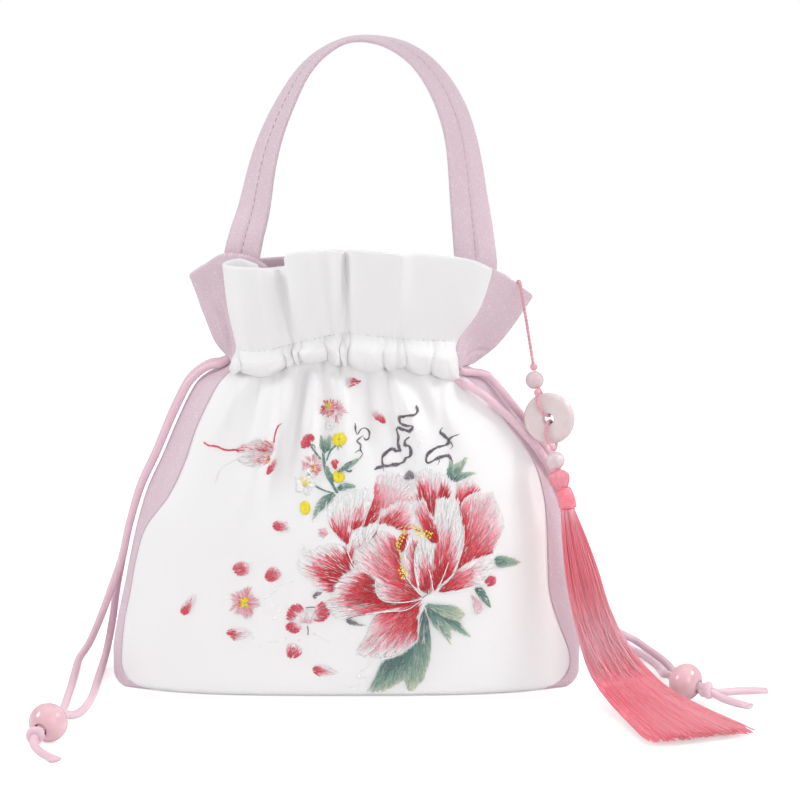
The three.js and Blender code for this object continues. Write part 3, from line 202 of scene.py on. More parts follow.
RIGHT_CORD_BACK = [
    (47.6, -14.4, 145.2), (52.0, -15.6, 143.6), (57.0, -12.8, 142.8), (62.8, -10.2, 141.0), (68.0, -10.7, 135.5),
    (72.8, -10.6, 129.6), (79.2, -9.5, 121.5), (86.5, -7.7, 111.5), (93.4, -5.4, 100.2),
    (98.8, -2.1, 86.8), (102.0, 3.0, 72.6), (104.4, 10.0, 57.0), (107.4, 20.0, 40.0),
    (111.6, 32.0, 24.0), (117.6, 42.0, 12.6), (124.8, 47.6, 5.2), (129.2, 43.8, 2.3),
    (133.2, 33.9, 1.95), (138.8, 21.3, 1.95), (142.9, 8.0, 1.95), (144.0, -5.4, 2.6),
    (143.2, -17.0, 5.2), (143.0, -28.4, 8.8), (146.4, -35.0, 9.0),
]
LEFT_BEAD_AT = (-122.0, -91.8, 8.3)
LEFT_BEAD_WAY = (-0.34, -0.92, -0.19)
RIGHT_BEAD_AT = (150.2, -38.0, 8.3)
RIGHT_BEAD_WAY = (0.80, -0.58, -0.14)
LEFT_TAILS = [[(-125.6, -106.4, 4.4), (-121.8, -112.6, 3.0), (-114.2, -121.6, 2.9)]]
RIGHT_TAILS = [
    [(164.4, -39.6, 4.0), (175.2, -34.4, 3.0), (187.1, -33.6, 2.9)],
    [(164.8, -46.8, 3.8), (170.4, -51.0, 3.0), (175.6, -55.6, 2.9)],
]
PENDANT_LINE = [
    (75.6, -3.6, 176.0), (76.0, -6.4, 181.8), (76.8, -11.6, 182.2), (77.9, -14.6, 175.0),
    (79.8, -15.6, 164.1), (81.6, -16.6, 153.2), (82.8, -18.2, 146.0),
]
UPPER_BEAD_AT = (83.2, -18.8, 140.2)
DISC_AT = (89.7, -20.6, 123.4)
DISC_TURN = math.radians(-18.0)
LOWER_BEAD_AT = (92.2, -27.0, 105.8)
LOWER_BEAD_WAY = (-0.22, 0.2, 0.95)
TASSEL_HEAD_AT = (93.8, -28.4, 98.4)
TASSEL_WRAP_AT = (97.2, -31.0, 88.6)
SKIRT_LEFT = [
    (94.2, -31.0, 85.0), (94.6, -33.0, 70.0), (96.6, -35.0, 55.8), (99.0, -36.0, 43.3),
    (102.0, -37.0, 30.6), (105.0, -40.0, 19.6), (108.8, -47.0, 10.6), (115.0, -62.0, 5.0),
    (120.4, -82.0, 3.4), (124.6, -100.0, 2.6),
]
SKIRT_RIGHT = [
    (100.8, -31.0, 85.6), (105.6, -33.0, 75.0), (110.4, -34.5, 61.0), (114.2, -35.5, 48.0),
    (119.4, -37.0, 34.6), (125.8, -39.0, 24.4), (133.4, -42.0, 15.0), (143.0, -50.0, 8.2),
    (158.0, -65.0, 4.4), (174.0, -84.0, 2.4),
]


# ---- Numbers
def unit(vectors):
    vectors = np.asarray(vectors, float)
    return vectors / np.maximum(1e-12, np.linalg.norm(vectors, axis=-1, keepdims=True))


def smooth(share):
    held = np.clip(share, 0, 1)
    return held * held * (3 - 2 * held)


def lerp(start, end, share):
    return start + (end - start) * share


def line_at(points, share):
    """Points on a smooth open line through a list of points, share 0 to 1 along the list."""
    points = np.asarray(points, float)
    last = len(points) - 1
    along = np.clip(np.atleast_1d(share), 0, 1) * last
    i = np.minimum(last - 1, along.astype(int))
    t = (along - i).reshape((-1,) + (1,) * (points.ndim - 1))
    before, start = points[np.maximum(0, i - 1)], points[i]
    end, after = points[i + 1], points[np.minimum(last, i + 2)]
    return 0.5 * (2 * start + (end - before) * t
                  + (2 * before - 5 * start + 4 * end - after) * t ** 2
                  + (3 * start - before - 3 * end + after) * t ** 3)


def run_along(line):
    """Length from the start of a line to each of its points."""
    return np.concatenate([[0], np.cumsum(np.linalg.norm(np.diff(line, axis=0), axis=1))])


def read_along(values, along, at):
    """Rows of values that go with the points of a line, read at lengths from its start."""
    return np.stack([np.interp(at, along, column) for column in values.T], 1)


def even_line(points, step):
    """The same line with its points the same step apart."""
    fine = line_at(points, np.linspace(0, 1, 40 * len(points)))
    along = run_along(fine)
    count = max(2, int(round(along[-1] / step)) + 1)
    return read_along(fine, along, np.linspace(0, along[-1], count))


def ring_angles(sides):
    return np.linspace(0, 2 * math.pi, sides, endpoint=False)


def new_object(name, data):
    made = bpy.data.objects.new(name, data)
    bpy.context.scene.collection.objects.link(made)
    return made


# ---- Body surface
SECTION = {name: np.array([row[k] for row in BODY_SECTIONS]) for k, name in enumerate(BODY_COLUMNS)}


def section_at(column, z):
    """One column of the body's sections at a height, on a smooth curve through its rows."""
    keys, values = SECTION["height"], SECTION[column]
    at = np.clip(np.asarray(z, float) / BODY_HEIGHT, keys[0], keys[-1])
    slopes = np.empty(len(keys))
    slopes[1:-1] = (values[2:] - values[:-2]) / (keys[2:] - keys[:-2])
    slopes[0] = (values[1] - values[0]) / (keys[1] - keys[0])
    slopes[-1] = (values[-1] - values[-2]) / (keys[-1] - keys[-2])
    i = np.clip(np.searchsorted(keys, at) - 1, 0, len(keys) - 2)
    span = keys[i + 1] - keys[i]
    t = (at - keys[i]) / span
    return (values[i] * (2 * t ** 3 - 3 * t ** 2 + 1) + slopes[i] * span * (t ** 3 - 2 * t ** 2 + t)
            + values[i + 1] * (3 * t ** 2 - 2 * t ** 3) + slopes[i + 1] * span * (t ** 3 - t ** 2))


def base_tuck(z):
    """How far the wall turns in over the rounded edge of the base."""
    lift = np.clip(np.asarray(z, float) / BASE_ROUND, 0, 1)
    return BASE_ROUND * (1 - np.sqrt(1 - (1 - lift) ** 2))


def body_depth(x, z):
    """Half the body's depth at a place, without folds."""
    tuck = base_tuck(z)
    half = np.where(np.asarray(x) < 0, section_at("left", z), section_at("right", z)) * HALF_WIDTH - tuck
    share = np.minimum(1, np.abs(x) / half)
    square = section_at("square", z)
    return (section_at("depth", z) * HALF_DEPTH - tuck) * (1 - share ** square) ** (1 / square)


def seams_at(z):
    """Left and right seam of the white panels at a height, drawn in at their round lower corners."""
    drop = np.clip((PANEL_CORNER - (np.asarray(z, float) - PANEL_FOOT)) / PANEL_CORNER, 0, 1)
    corner = PANEL_CORNER * (1 - np.sqrt(1 - drop ** 2))
    left = -section_at("seam_left", z) * HALF_WIDTH + corner
    right = section_at("seam_right", z) * HALF_WIDTH - corner
    return left, right


def fold_rise(x, z):
    """Height of the broad folds below the casing."""
    left, right = seams_at(z)
    edge = smooth((x - left) / (FOLD_EDGE * HALF_WIDTH)) * smooth((right - x) / (FOLD_EDGE * HALF_WIDTH))
    rise = np.zeros(np.broadcast(x, z).shape)
    for top, foot, foot_height, width, high in BODY_FOLDS:
        down = (1 - z / BODY_HEIGHT) / (1 - foot_height)
        middle = lerp(top, foot, down) * HALF_WIDTH
        wide = width * HALF_DEPTH * (0.8 + 0.6 * np.clip(down, 0, 1))
        fade = smooth(1.25 - down) * smooth((1 - z / BODY_HEIGHT) / FOLD_START)
        rise += high * HALF_DEPTH * fade * np.exp(-((x - middle) / wide) ** 2)
    return rise * edge


def pinch_depth(x, z):
    """Fine creases that run down from the drawn-up top and fade out."""
    drop = BODY_HEIGHT - np.asarray(z, float)
    down = np.maximum(drop, 0)
    depth = np.zeros(np.broadcast(x, z).shape)
    for top, drift, run, deep, wide in PINCHES:
        aside = (x - top - drift * drop / 10) / (wide * (1 + PINCH_SPREAD * down))
        depth += PINCH_DEPTH * deep * np.exp(-(down / run) ** 1.5) * np.exp(-aside ** 2)
    return depth


def front_y(x, z):
    """Front face of the white panel, where the embroidery lies."""
    return -(body_depth(x, z) + fold_rise(x, z) - pinch_depth(x, z))


# ---- Meshes
class Shape:
    """Patches of points and faces that become one mesh."""

    def __init__(self):
        self.points, self.faces, self.uvs, self.count = [], [], [], 0

    def add(self, points):
        points = np.reshape(points, (-1, 3))
        first = self.count
        self.points.append(points)
        self.count += len(points)
        return np.arange(first, self.count)

    def patch(self, at, uv, flip=False):
        corners = [(slice(None, -1), slice(None, -1)), (slice(None, -1), slice(1, None)),
                   (slice(1, None), slice(1, None)), (slice(1, None), slice(None, -1))]
        index = np.stack([at[c] for c in corners], -1).reshape(-1, 4)
        places = np.stack([uv[c] for c in corners], -2).reshape(-1, 4, 2)
        self.faces.append(index[:, ::-1] if flip else index)
        self.uvs.append(places[:, ::-1] if flip else places)

    def fan(self, ring, hub, flip):
        nxt = np.roll(ring, -1)
        index = np.stack([np.full(len(ring), hub), ring, nxt], 1)
        self.faces.append(index[:, ::-1] if flip else index)
        self.uvs.append(np.zeros((len(ring), 3, 2)))

    def make(self, name, material):
        mesh = bpy.data.meshes.new(name)
        points = np.concatenate(self.points) * MM
        loops = np.concatenate([face.ravel() for face in self.faces])
        sizes = np.concatenate([np.full(len(face), face.shape[1]) for face in self.faces])
        starts = np.concatenate([[0], np.cumsum(sizes)[:-1]])
        mesh.vertices.add(len(points))
        mesh.vertices.foreach_set("co", points.ravel())
        mesh.loops.add(len(loops))
        mesh.loops.foreach_set("vertex_index", loops.astype(np.int32))
        mesh.polygons.add(len(sizes))
        mesh.polygons.foreach_set("loop_start", starts.astype(np.int32))
        mesh.update(calc_edges=True)
        layer = mesh.uv_layers.new(name="UVMap")
        layer.data.foreach_set("uv", (np.concatenate([u.reshape(-1, 2) for u in self.uvs]) * MM).ravel())
        mesh.validate()
        mesh.shade_smooth()
        mesh.materials.append(material)
        return new_object(name, mesh)


def arc_uv(grid):
    """Places on the cloth in millimetres: along each row from its middle, and up each column."""
    along = np.concatenate([np.zeros_like(grid[:, :1, 0]),
                            np.cumsum(np.linalg.norm(np.diff(grid, axis=1), axis=-1), axis=1)], 1)
    up = np.concatenate([np.zeros_like(grid[:1, :, 0]),
                         np.cumsum(np.linalg.norm(np.diff(grid, axis=0), axis=-1), axis=0)], 0)
    along -= along[:, along.shape[1] // 2][:, None]
    return np.stack([along, up], -1)


def grid_normals(grid):
    return unit(np.cross(np.gradient(grid, axis=1), np.gradient(grid, axis=0)))


def sheet_shape(grid, thickness, rim=0.5):
    """Closed cloth of even thickness from a grid of outer points, with round rims."""
    shape = Shape()
    normals = grid_normals(grid)
    uv = arc_uv(grid)
    rows, columns = grid.shape[:2]
    outer = shape.add(grid).reshape(rows, columns)
    inner = shape.add(grid - normals * thickness).reshape(rows, columns)
    shape.patch(outer, uv)
    shape.patch(inner, uv, flip=True)
    j = np.concatenate([np.zeros(columns - 1, int), np.arange(rows - 1),
                        np.full(columns - 1, rows - 1), np.arange(rows - 1, 0, -1)])
    i = np.concatenate([np.arange(columns - 1), np.full(rows - 1, columns - 1),
                        np.arange(columns - 1, 0, -1), np.zeros(rows - 1, int)])
    inward = grid[np.clip(j, 1, rows - 2), np.clip(i, 1, columns - 2)] - grid[j, i]
    inward = unit(inward - normals[j, i] * (inward * normals[j, i]).sum(1, keepdims=True))
    rings = [outer[j, i]]
    for turn in (0.25, 0.5, 0.75) if rim else (0.5,):
        out = math.sin(turn * math.pi) * thickness * rim
        rings.append(shape.add(grid[j, i] - normals[j, i] * thickness * turn - inward * out))
    rings.append(inner[j, i])
    at = np.stack([np.append(ring, ring[0]) for ring in rings])
    edge_uv = np.concatenate([uv[j, i], uv[j[:1], i[:1]]])
    shape.patch(at, np.repeat(edge_uv[None], len(rings), 0), flip=True)
    return shape


def ring_shape(rings, shape=None, closed=False):
    """Skin over a row of rings, closed at both ends or joined end to end."""
    shape = shape or Shape()
    count, sides = rings.shape[:2]
    at = shape.add(rings).reshape(count, sides)
    at = np.concatenate([at, at[:, :1]], 1)
    looped = np.concatenate([rings, rings[:, :1]], 1)
    uv = arc_uv(looped)
    if closed:
        at = np.concatenate([at, at[:1]], 0)
        uv = np.concatenate([uv, uv[-1:] + 0.5], 0)
    shape.patch(at, uv)
    if not closed:
        for row, flip in ((0, True), (count - 1, False)):
            hub = shape.add(rings[row].mean(0))[0]
            shape.fan(at[row, :-1], hub, flip)
    return shape


def frames_along(line, first_cross=(0.0, 0.0, 1.0)):
    """Ways along a line and two crosswise directions that turn with it as little as they can."""
    ways = unit(np.gradient(line, axis=0))
    cross = np.array(first_cross, float)
    crosses = np.empty_like(line)
    for j, way in enumerate(ways):
        cross = cross - way * cross.dot(way)
        cross = cross / np.linalg.norm(cross)
        crosses[j] = cross
    return ways, crosses, np.cross(ways, crosses)


def tube_rings(line, radius, sides, first_cross=(0.0, 0.0, 1.0)):
    """Rings round a line. The radius is a number or an array of rings by sides."""
    ways, crosses, seconds = frames_along(line, first_cross)
    angle = ring_angles(sides)[None, :, None]
    radius = np.broadcast_to(radius, (len(line), sides))[..., None]
    return line[:, None] + radius * (crosses[:, None] * np.cos(angle) + seconds[:, None] * np.sin(angle))


# ---- Materials
def feed(tree, socket, value):
    """Set a socket to a number or a colour, or join it to another socket."""
    if isinstance(value, bpy.types.NodeSocket):
        tree.links.new(value, socket)
    elif isinstance(value, tuple):
        socket.default_value = (*value, 1)
    else:
        socket.default_value = value


def node(tree, kind, feeds=None, **values):
    """Outputs of a new node, once its inputs are fed and its other values are set."""
    made = tree.nodes.new(kind)
    for key, value in values.items():
        setattr(made, key, value)
    for label, value in (feeds or {}).items():
        feed(tree, made.inputs[label], value)
    return made.outputs


def maths(tree, operation, first, second=0.0):
    return node(tree, "ShaderNodeMath", {0: first, 1: second}, operation=operation)[0]


def mixed(tree, first, second, share):
    """Blend of two colours."""
    return node(tree, "ShaderNodeMix", {"A": first, "B": second, "Factor": share}, data_type="RGBA")["Result"]


def noise(tree, place, scale, detail, distortion=0.0):
    return node(tree, "ShaderNodeTexNoise", {
        "Vector": place, "Scale": scale, "Detail": detail, "Distortion": distortion})["Fac"]


def node_group(name, kind, inputs, output):
    """A new group with named inputs and one output, the sockets of its inputs and the socket of its output."""
    tree = bpy.data.node_groups.new(name, kind)
    for label, socket_kind, value in inputs:
        socket = tree.interface.new_socket(label, in_out="INPUT", socket_type=socket_kind)
        if value is not None:
            socket.default_value = value
    tree.interface.new_socket(output[0], in_out="OUTPUT", socket_type=output[1])
    given = node(tree, "NodeGroupInput")
    return tree, given, tree.nodes.new("NodeGroupOutput").inputs[output[0]]


def weave_group():
    """Height of a woven cloth from a place in metres: fine threads over soft unevenness."""
    tree, given, out = node_group("Satin weave", "ShaderNodeTree", [
        ("Place", "NodeSocketVector", None), ("Thread pitch", "NodeSocketFloat", 0.0004),
        ("Unevenness", "NodeSocketFloat", 0.35)], ("Height", "NodeSocketFloat"))
    parts = node(tree, "ShaderNodeSeparateXYZ", {0: given["Place"]})
    turns = maths(tree, "DIVIDE", 2 * math.pi, given["Thread pitch"])
    across = maths(tree, "SINE", maths(tree, "MULTIPLY", parts["X"], turns))
    up = maths(tree, "SINE", maths(tree, "MULTIPLY", parts["Y"], turns))
    threads = maths(tree, "ADD", maths(tree, "MULTIPLY", across, 0.5), maths(tree, "MULTIPLY", up, 0.3))
    uneven = maths(tree, "MULTIPLY", noise(tree, given["Place"], 260, 3), given["Unevenness"])
    feed(tree, out, maths(tree, "ADD", maths(tree, "MULTIPLY", threads, 0.25), uneven))
    return tree


def make_painted_glint_group():
    """Mask of scattered specks for painted glints: one in many of the small cells of a cloth."""
    tree, given, out = node_group("Thread sparkle", "ShaderNodeTree", [
        ("Place", "NodeSocketVector", None), ("Cells per metre", "NodeSocketFloat", 3200.0),
        ("Share", "NodeSocketFloat", 0.05)], ("Mask", "NodeSocketFloat"))
    cells = node(tree, "ShaderNodeTexVoronoi", {"Vector": given["Place"], "Scale": given["Cells per metre"]},
                 feature="F1")
    parts = node(tree, "ShaderNodeSeparateColor", {0: cells["Color"]})
    feed(tree, out, maths(tree, "GREATER_THAN", parts[0], maths(tree, "SUBTRACT", 1.0, given["Share"])))
    return tree


WEAVE = weave_group()
PAINTED_GLINT = make_painted_glint_group()
# Colour of the painted glints: pale specks that stand in for the satin's sparkling highlights.
PAINTED_GLINT_COLOUR = (1.0, 0.93, 0.96)


def plain_material(name, colour, roughness, **sockets):
    """A material of one colour, its tree and the inputs of its shader."""
    material = bpy.data.materials.new(name)
    material.use_nodes = True
    inputs = material.node_tree.nodes["Principled BSDF"].inputs
    inputs["Base Color"].default_value = (*colour, 1)
    inputs["Roughness"].default_value = roughness
    for label, value in sockets.items():
        inputs[label.replace("_", " ")].default_value = value
    return material, material.node_tree, inputs


def satin_material(name, colour, shade, roughness, painted_glints=0.0, **sockets):
    """Woven satin: weave bump, faint clouding between two colours and, where asked, fine glints painted into the
    colour as pale specks.
    """
    material, tree, shader = plain_material(name, colour, roughness, **sockets)
    place = node(tree, "ShaderNodeTexCoord")["UV"]
    height = node(tree, "ShaderNodeGroup", {"Place": place}, node_tree=WEAVE)["Height"]
    bump = node(tree, "ShaderNodeBump", {"Strength": 0.12, "Distance": 0.0004, "Height": height})
    feed(tree, shader["Normal"], bump["Normal"])
    result = mixed(tree, colour, shade, noise(tree, place, 900, 2))
    # Painted glints: pale specks mixed into the base colour stand in for sparkling highlights on the satin.
    if painted_glints:
        glint_specks = node(tree, "ShaderNodeGroup", {"Share": painted_glints, "Place": place}, node_tree=PAINTED_GLINT)
        result = mixed(tree, result, PAINTED_GLINT_COLOUR, maths(tree, "MULTIPLY", glint_specks["Mask"], 0.5))
    feed(tree, shader["Base Color"], result)
    return material


def stone_material(name, colour, vein, roughness, **sockets):
    """Polished stone with soft veins of a second colour."""
    material, tree, shader = plain_material(name, colour, roughness, **sockets)
    place = node(tree, "ShaderNodeTexCoord")["Object"]
    feed(tree, shader["Base Color"], mixed(tree, colour, vein, noise(tree, place, 160, 5, 1.2)))
    return material


def thread_material(name, dark, light, roughness, **sockets):
    """Silk thread: its colour runs from dark to light by its shade, which holds each thread's own tone and, on the
    skirt, a painted highlight.
    """
    material, tree, shader = plain_material(name, light, roughness, **sockets)
    shade = node(tree, "ShaderNodeAttribute", attribute_name="shade")["Fac"]
    feed(tree, shader["Base Color"], mixed(tree, dark, light, shade))
    return material


white_satin = satin_material("white satin", (0.93, 0.92, 0.925), (0.90, 0.89, 0.90), 0.5,
                             Sheen_Weight=0.25, Sheen_Roughness=0.4)
# The pink satin carries painted glints.
pink_satin = satin_material("pink satin", (0.74, 0.575, 0.645), (0.69, 0.525, 0.60), 0.45, painted_glints=0.07,
                            Sheen_Weight=0.3, Sheen_Roughness=0.4)
satin_cord = satin_material("satin cord", (0.86, 0.62, 0.70), (0.82, 0.56, 0.65), 0.4,
                            Sheen_Weight=0.3, Sheen_Roughness=0.35)
pink_bead = stone_material("pink bead", (0.85, 0.58, 0.62), (0.79, 0.47, 0.53), 0.16,
                           Coat_Weight=0.6, Coat_Roughness=0.06, Subsurface_Weight=0.2, Subsurface_Scale=0.004)
rose_quartz = stone_material("rose quartz", (0.78, 0.64, 0.67), (0.70, 0.54, 0.58), 0.14,
                             Coat_Weight=0.6, Coat_Roughness=0.06, Subsurface_Weight=0.3, Subsurface_Scale=0.003)
white_jade = stone_material("white jade", (0.85, 0.76, 0.76), (0.73, 0.62, 0.64), 0.2,
                            Coat_Weight=0.5, Coat_Roughness=0.08, Subsurface_Weight=0.4, Subsurface_Scale=0.004)
pink_thread = satin_material("pink thread", (0.84, 0.44, 0.52), (0.78, 0.36, 0.45), 0.4, Sheen_Weight=0.3)
# The light colour is also the colour of the painted highlight on the skirt.
tassel_silk = thread_material("tassel silk", (0.95, 0.17, 0.225), (1.0, 0.60, 0.69), 0.28,
                              Sheen_Weight=0.7, Sheen_Roughness=0.25, Sheen_Tint=(1.0, 0.75, 0.8, 1.0))


# ---- Camera at the photograph's angle
# It looks down by TILT at a place AIM_ACROSS and AIM_HEIGHT from the origin, from AIM_REACH away, in millimetres.
TILT = math.radians(10)
AIM_ACROSS = 24.0
AIM_HEIGHT = 128.0
AIM_REACH = 900.0
LENS = 90.0
SENSOR = 36.0
camera = new_object("camera", bpy.data.cameras.new("camera"))
camera.data.lens = LENS
camera.data.sensor_width = SENSOR
camera.data.clip_end = 20
camera.location = (AIM_ACROSS * MM, -AIM_REACH * math.cos(TILT) * MM,
                   (AIM_HEIGHT + AIM_REACH * math.sin(TILT)) * MM)
camera.rotation_euler = (math.radians(90) - TILT, 0, 0)
bpy.context.scene.camera = camera
bpy.context.scene.view_settings.view_transform = "Standard"


# ---- Geometry Nodes
def modifier_mesh(piece, tree, values, material):
    """The piece's mesh as the tree makes it, with the modifier taken off again."""
    modifier = piece.modifiers.new(tree.name, "NODES")
    modifier.node_group = tree
    sockets = {item.name: item.identifier for item in tree.interface.items_tree if item.in_out == "INPUT"}
    for label, value in values.items():
        modifier[sockets[label]] = value
    modifier[sockets["Material"]] = material
    graph = bpy.context.evaluated_depsgraph_get()
    made = bpy.data.meshes.new_from_object(piece.evaluated_get(graph))
    old = piece.data
    piece.modifiers.remove(modifier)
    piece.data = made
    bpy.data.meshes.remove(old)
    made.name = piece.name
    return piece


def geometry_tree(name, inputs):
    return node_group(name, "GeometryNodeTree", [
        ("Geometry", "NodeSocketGeometry", None), *inputs, ("Material", "NodeSocketMaterial", None),
    ], ("Geometry", "NodeSocketGeometry"))


def finish_tree(tree, given, out, geometry):
    real = node(tree, "GeometryNodeRealizeInstances", {"Geometry": geometry})["Geometry"]
    paint = node(tree, "GeometryNodeSetMaterial", {"Geometry": real, "Material": given["Material"]})
    feed(tree, out, paint["Geometry"])


def threads_tree():
    """Round threads along every line of a mesh of edges."""
    tree, given, out = geometry_tree("Threads along lines", [
        ("Thread radius", "NodeSocketFloat", 0.0002), ("Sides", "NodeSocketInt", 4)])
    line = node(tree, "GeometryNodeMeshToCurve", {"Mesh": given["Geometry"]})["Curve"]
    circle = node(tree, "GeometryNodeCurvePrimitiveCircle", {
        "Resolution": given["Sides"], "Radius": given["Thread radius"]})["Curve"]
    skin = node(tree, "GeometryNodeCurveToMesh", {"Curve": line, "Profile Curve": circle, "Fill Caps": True})
    finish_tree(tree, given, out, node(tree, "GeometryNodeSetShadeSmooth", {"Geometry": skin["Mesh"]})["Geometry"])
    return tree


def lines_object(name, lines, shades):
    """Mesh of edges from an array of lines by points, with a tone for each line or point."""
    count, steps = lines.shape[:2]
    mesh = bpy.data.meshes.new(name)
    mesh.vertices.add(count * steps)
    mesh.vertices.foreach_set("co", (lines.reshape(-1, 3) * MM).ravel())
    at = np.arange(count * steps).reshape(count, steps)
    edges = np.stack([at[:, :-1], at[:, 1:]], -1).reshape(-1, 2)
    mesh.edges.add(len(edges))
    mesh.edges.foreach_set("vertices", edges.astype(np.int32).ravel())
    shade = mesh.attributes.new("shade", "FLOAT", "POINT")
    shades = np.broadcast_to(np.reshape(shades, (count, -1)), (count, steps))
    shade.data.foreach_set("value", shades.astype(np.float32).ravel())
    return new_object(name, mesh)


THREADS = threads_tree()


def finish_piece(piece, slot, *nodes):
    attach(piece, "root")
    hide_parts(*nodes)


def finish_cloth(piece, slot, node_name):
    """A piece of cloth, attached to the root with its solid hidden."""
    finish_piece(piece, slot, node_name)


# ---- Drawstrings
CORD_STEP = 0.5
CORD_SIDES = 16
RIB_PITCH = 2.0


def cord_piece(name, points):
    """Satin cord with fine ribs that run round it at a slant."""
    line = even_line(points, CORD_STEP)
    turn = 2 * math.pi * np.arange(len(line))[:, None] * CORD_STEP / RIB_PITCH
    angle = ring_angles(CORD_SIDES)[None, :]
    ribs = np.maximum(np.cos(turn + 2 * angle), np.cos(turn - 2 * angle))
    radius = CORD_DIAMETER / 2 * (0.965 + 0.035 * ribs)
    return ring_shape(tube_rings(line, radius, CORD_SIDES)).make(name, satin_cord), line


CORDS = {
    "left_cord_front": LEFT_CORD_FRONT, "left_cord_back": LEFT_CORD_BACK,
    "right_cord_front": RIGHT_CORD_FRONT, "right_cord_back": RIGHT_CORD_BACK,
}
cord_pieces = {name: cord_piece(name + "_strand", points) for name, points in CORDS.items()}


# ---- Stopper beads and knots
NECK_RADIUS = 2.3
COIL_RADIUS = 2.15
TAIL_RADIUS = 1.75


def turned_piece(name, profile, at, axis, side, other, sides, material):
    """Closed piece whose profile, radius and place along the axis, is turned round that axis."""
    turn = ring_angles(sides)[:, None, None]
    radius, along = profile[:, 0][None, :, None], profile[:, 1][None, :, None]
    rings = np.array(at)[None, None] + along * axis + radius * (side * np.cos(turn) + other * np.sin(turn))
    piece = ring_shape(rings, closed=True).make(name, material)
    fix_outward(piece)
    return piece


def across_way(way):
    """A way as a unit vector, and two unit vectors square to it."""
    way = unit(way)
    side = unit(np.cross(way, (0.0, 0.0, 1.0)))
    return way, side, np.cross(way, side)


def bead_piece(name, at, way, radius, hole, flatten, material):
    """Round bead with a hole through it, turned so that the hole runs along its way."""
    start = math.asin(hole / radius)
    angle = np.linspace(start, math.pi - start, 28)
    profile = np.stack([np.sin(angle) * radius, -np.cos(angle) * radius * flatten], 1)
    mouth = np.linspace(profile[-1, 1], profile[0, 1], 8)[1:-1]
    inside = np.stack([np.full(len(mouth), hole), mouth], 1)
    return turned_piece(name, np.concatenate([profile, inside]), at, *across_way(way), 48, material)


def fix_outward(piece):
    """Turn the faces of a closed mesh outwards where its volume comes out negative."""
    mesh = piece.data
    mesh.calc_loop_triangles()
    points = np.empty(len(mesh.vertices) * 3)
    mesh.vertices.foreach_get("co", points)
    points = points.reshape(-1, 3)
    corners = np.empty(len(mesh.loop_triangles) * 3, np.int32)
    mesh.loop_triangles.foreach_get("vertices", corners)
    a, b, c = points[corners.reshape(-1, 3)].transpose(1, 0, 2)
    if (a * np.cross(b, c)).sum() < 0:
        mesh.flip_normals()


def knot_piece(name, at, way, tails):
    """Neck through the bead, an overhand turn beyond it and the loose ends, which spread at their cut."""
    way, side, other = across_way(way)
    at = np.array(at, float)
    out = at + way * (BEAD_RADIUS + 2.4)
    shape = Shape()
    neck = even_line([at - way * BEAD_RADIUS * 0.9, at, at + way * BEAD_RADIUS, out + way * 1.2], CORD_STEP)
    ring_shape(tube_rings(neck, NECK_RADIUS, CORD_SIDES), shape)
    turn = np.linspace(0, 2 * math.pi * 1.4, 14)[:, None]
    coil = (out[None] + way * np.linspace(-1.5, 1.7, 14)[:, None]
            + COIL_RADIUS * (side * np.cos(turn) + other * np.sin(turn)))
    ring_shape(tube_rings(even_line(coil, CORD_STEP), TAIL_RADIUS, CORD_SIDES), shape)
    angle = ring_angles(CORD_SIDES)[None, :, None]
    for tail in tails:
        line = even_line([out, *tail], CORD_STEP)
        spread = smooth((np.linspace(0, 1, len(line)) - 0.7) / 0.3)[:, None, None]
        ways, _, _ = frames_along(line)
        wide = unit(np.cross(ways, (0.0, 0.0, 1.0)))
        thick = np.cross(wide, ways)
        ring_shape(line[:, None] + wide[:, None] * (TAIL_RADIUS * (1 + 0.75 * spread) * np.cos(angle))
                   + thick[:, None] * (TAIL_RADIUS * (1 - 0.35 * spread) * np.sin(angle)), shape)
    return shape.make(name, satin_cord)


for side, at, way, tails, flatten in (("left", LEFT_BEAD_AT, LEFT_BEAD_WAY, LEFT_TAILS, 0.92),
                                      ("right", RIGHT_BEAD_AT, RIGHT_BEAD_WAY, RIGHT_TAILS, 0.86)):
    bead = bead_piece(side + "_stopper_bead", at, way, BEAD_RADIUS, BEAD_HOLE, flatten, pink_bead)
    knot = knot_piece(side + "_tied_knot", at, way, tails)
    finish_piece(bead, "pink_bead", side + "_bead")
    finish_piece(knot, "satin_cord", side + "_knot")

for name, (piece, line) in cord_pieces.items():
    finish_piece(piece, "satin_cord", name)


# ---- Cloth body
def row_heights(count):
    """Heights of a panel's rows, closer together over its round lower corners."""
    corner = [PANEL_FOOT + PANEL_CORNER * (1 - math.sin(s * math.pi / 2)) for s in np.linspace(1, 0, 12)]
    rest = np.linspace(PANEL_FOOT + PANEL_CORNER, PANEL_TOP * BODY_HEIGHT, count)[1:]
    return np.concatenate([corner, rest])


def foot_drop(x):
    """How far a panel hangs past its seam to the floor, away from the corners."""
    return (PANEL_FOOT - 0.25) * smooth((x + 100) / 24) * smooth((98 - x) / 16)


def panel_grid(side, columns, rows):
    """Outer face of the front (-1) or the back (1) panel, with closer columns along its two seams."""
    z = row_heights(rows)[:, None]
    left, right = seams_at(z)
    near = np.array([0, 0.0025, 0.005, 0.0085])
    share = np.concatenate([near, np.linspace(0.013, 0.987, columns - 7), 1 - near[::-1]])[None]
    share = share if side < 0 else 1 - share
    x = lerp(left + SEAM_GAP / 2, right - SEAM_GAP / 2, share)
    seam_dip = SEAM_DIP * np.exp(-(np.minimum(x - left, right - x) / SEAM_DIP_WIDTH) ** 2)
    z = z - foot_drop(x) * np.clip(1 - (z - PANEL_FOOT) / 9, 0, 1)
    rise = fold_rise(x, z) - pinch_depth(x, z) if side < 0 else 0.4 * fold_rise(-x, z) - 0.8 * pinch_depth(-x, z)
    y = side * (body_depth(x, z) + rise - seam_dip)
    return np.stack(np.broadcast_arrays(x, y, z), -1)


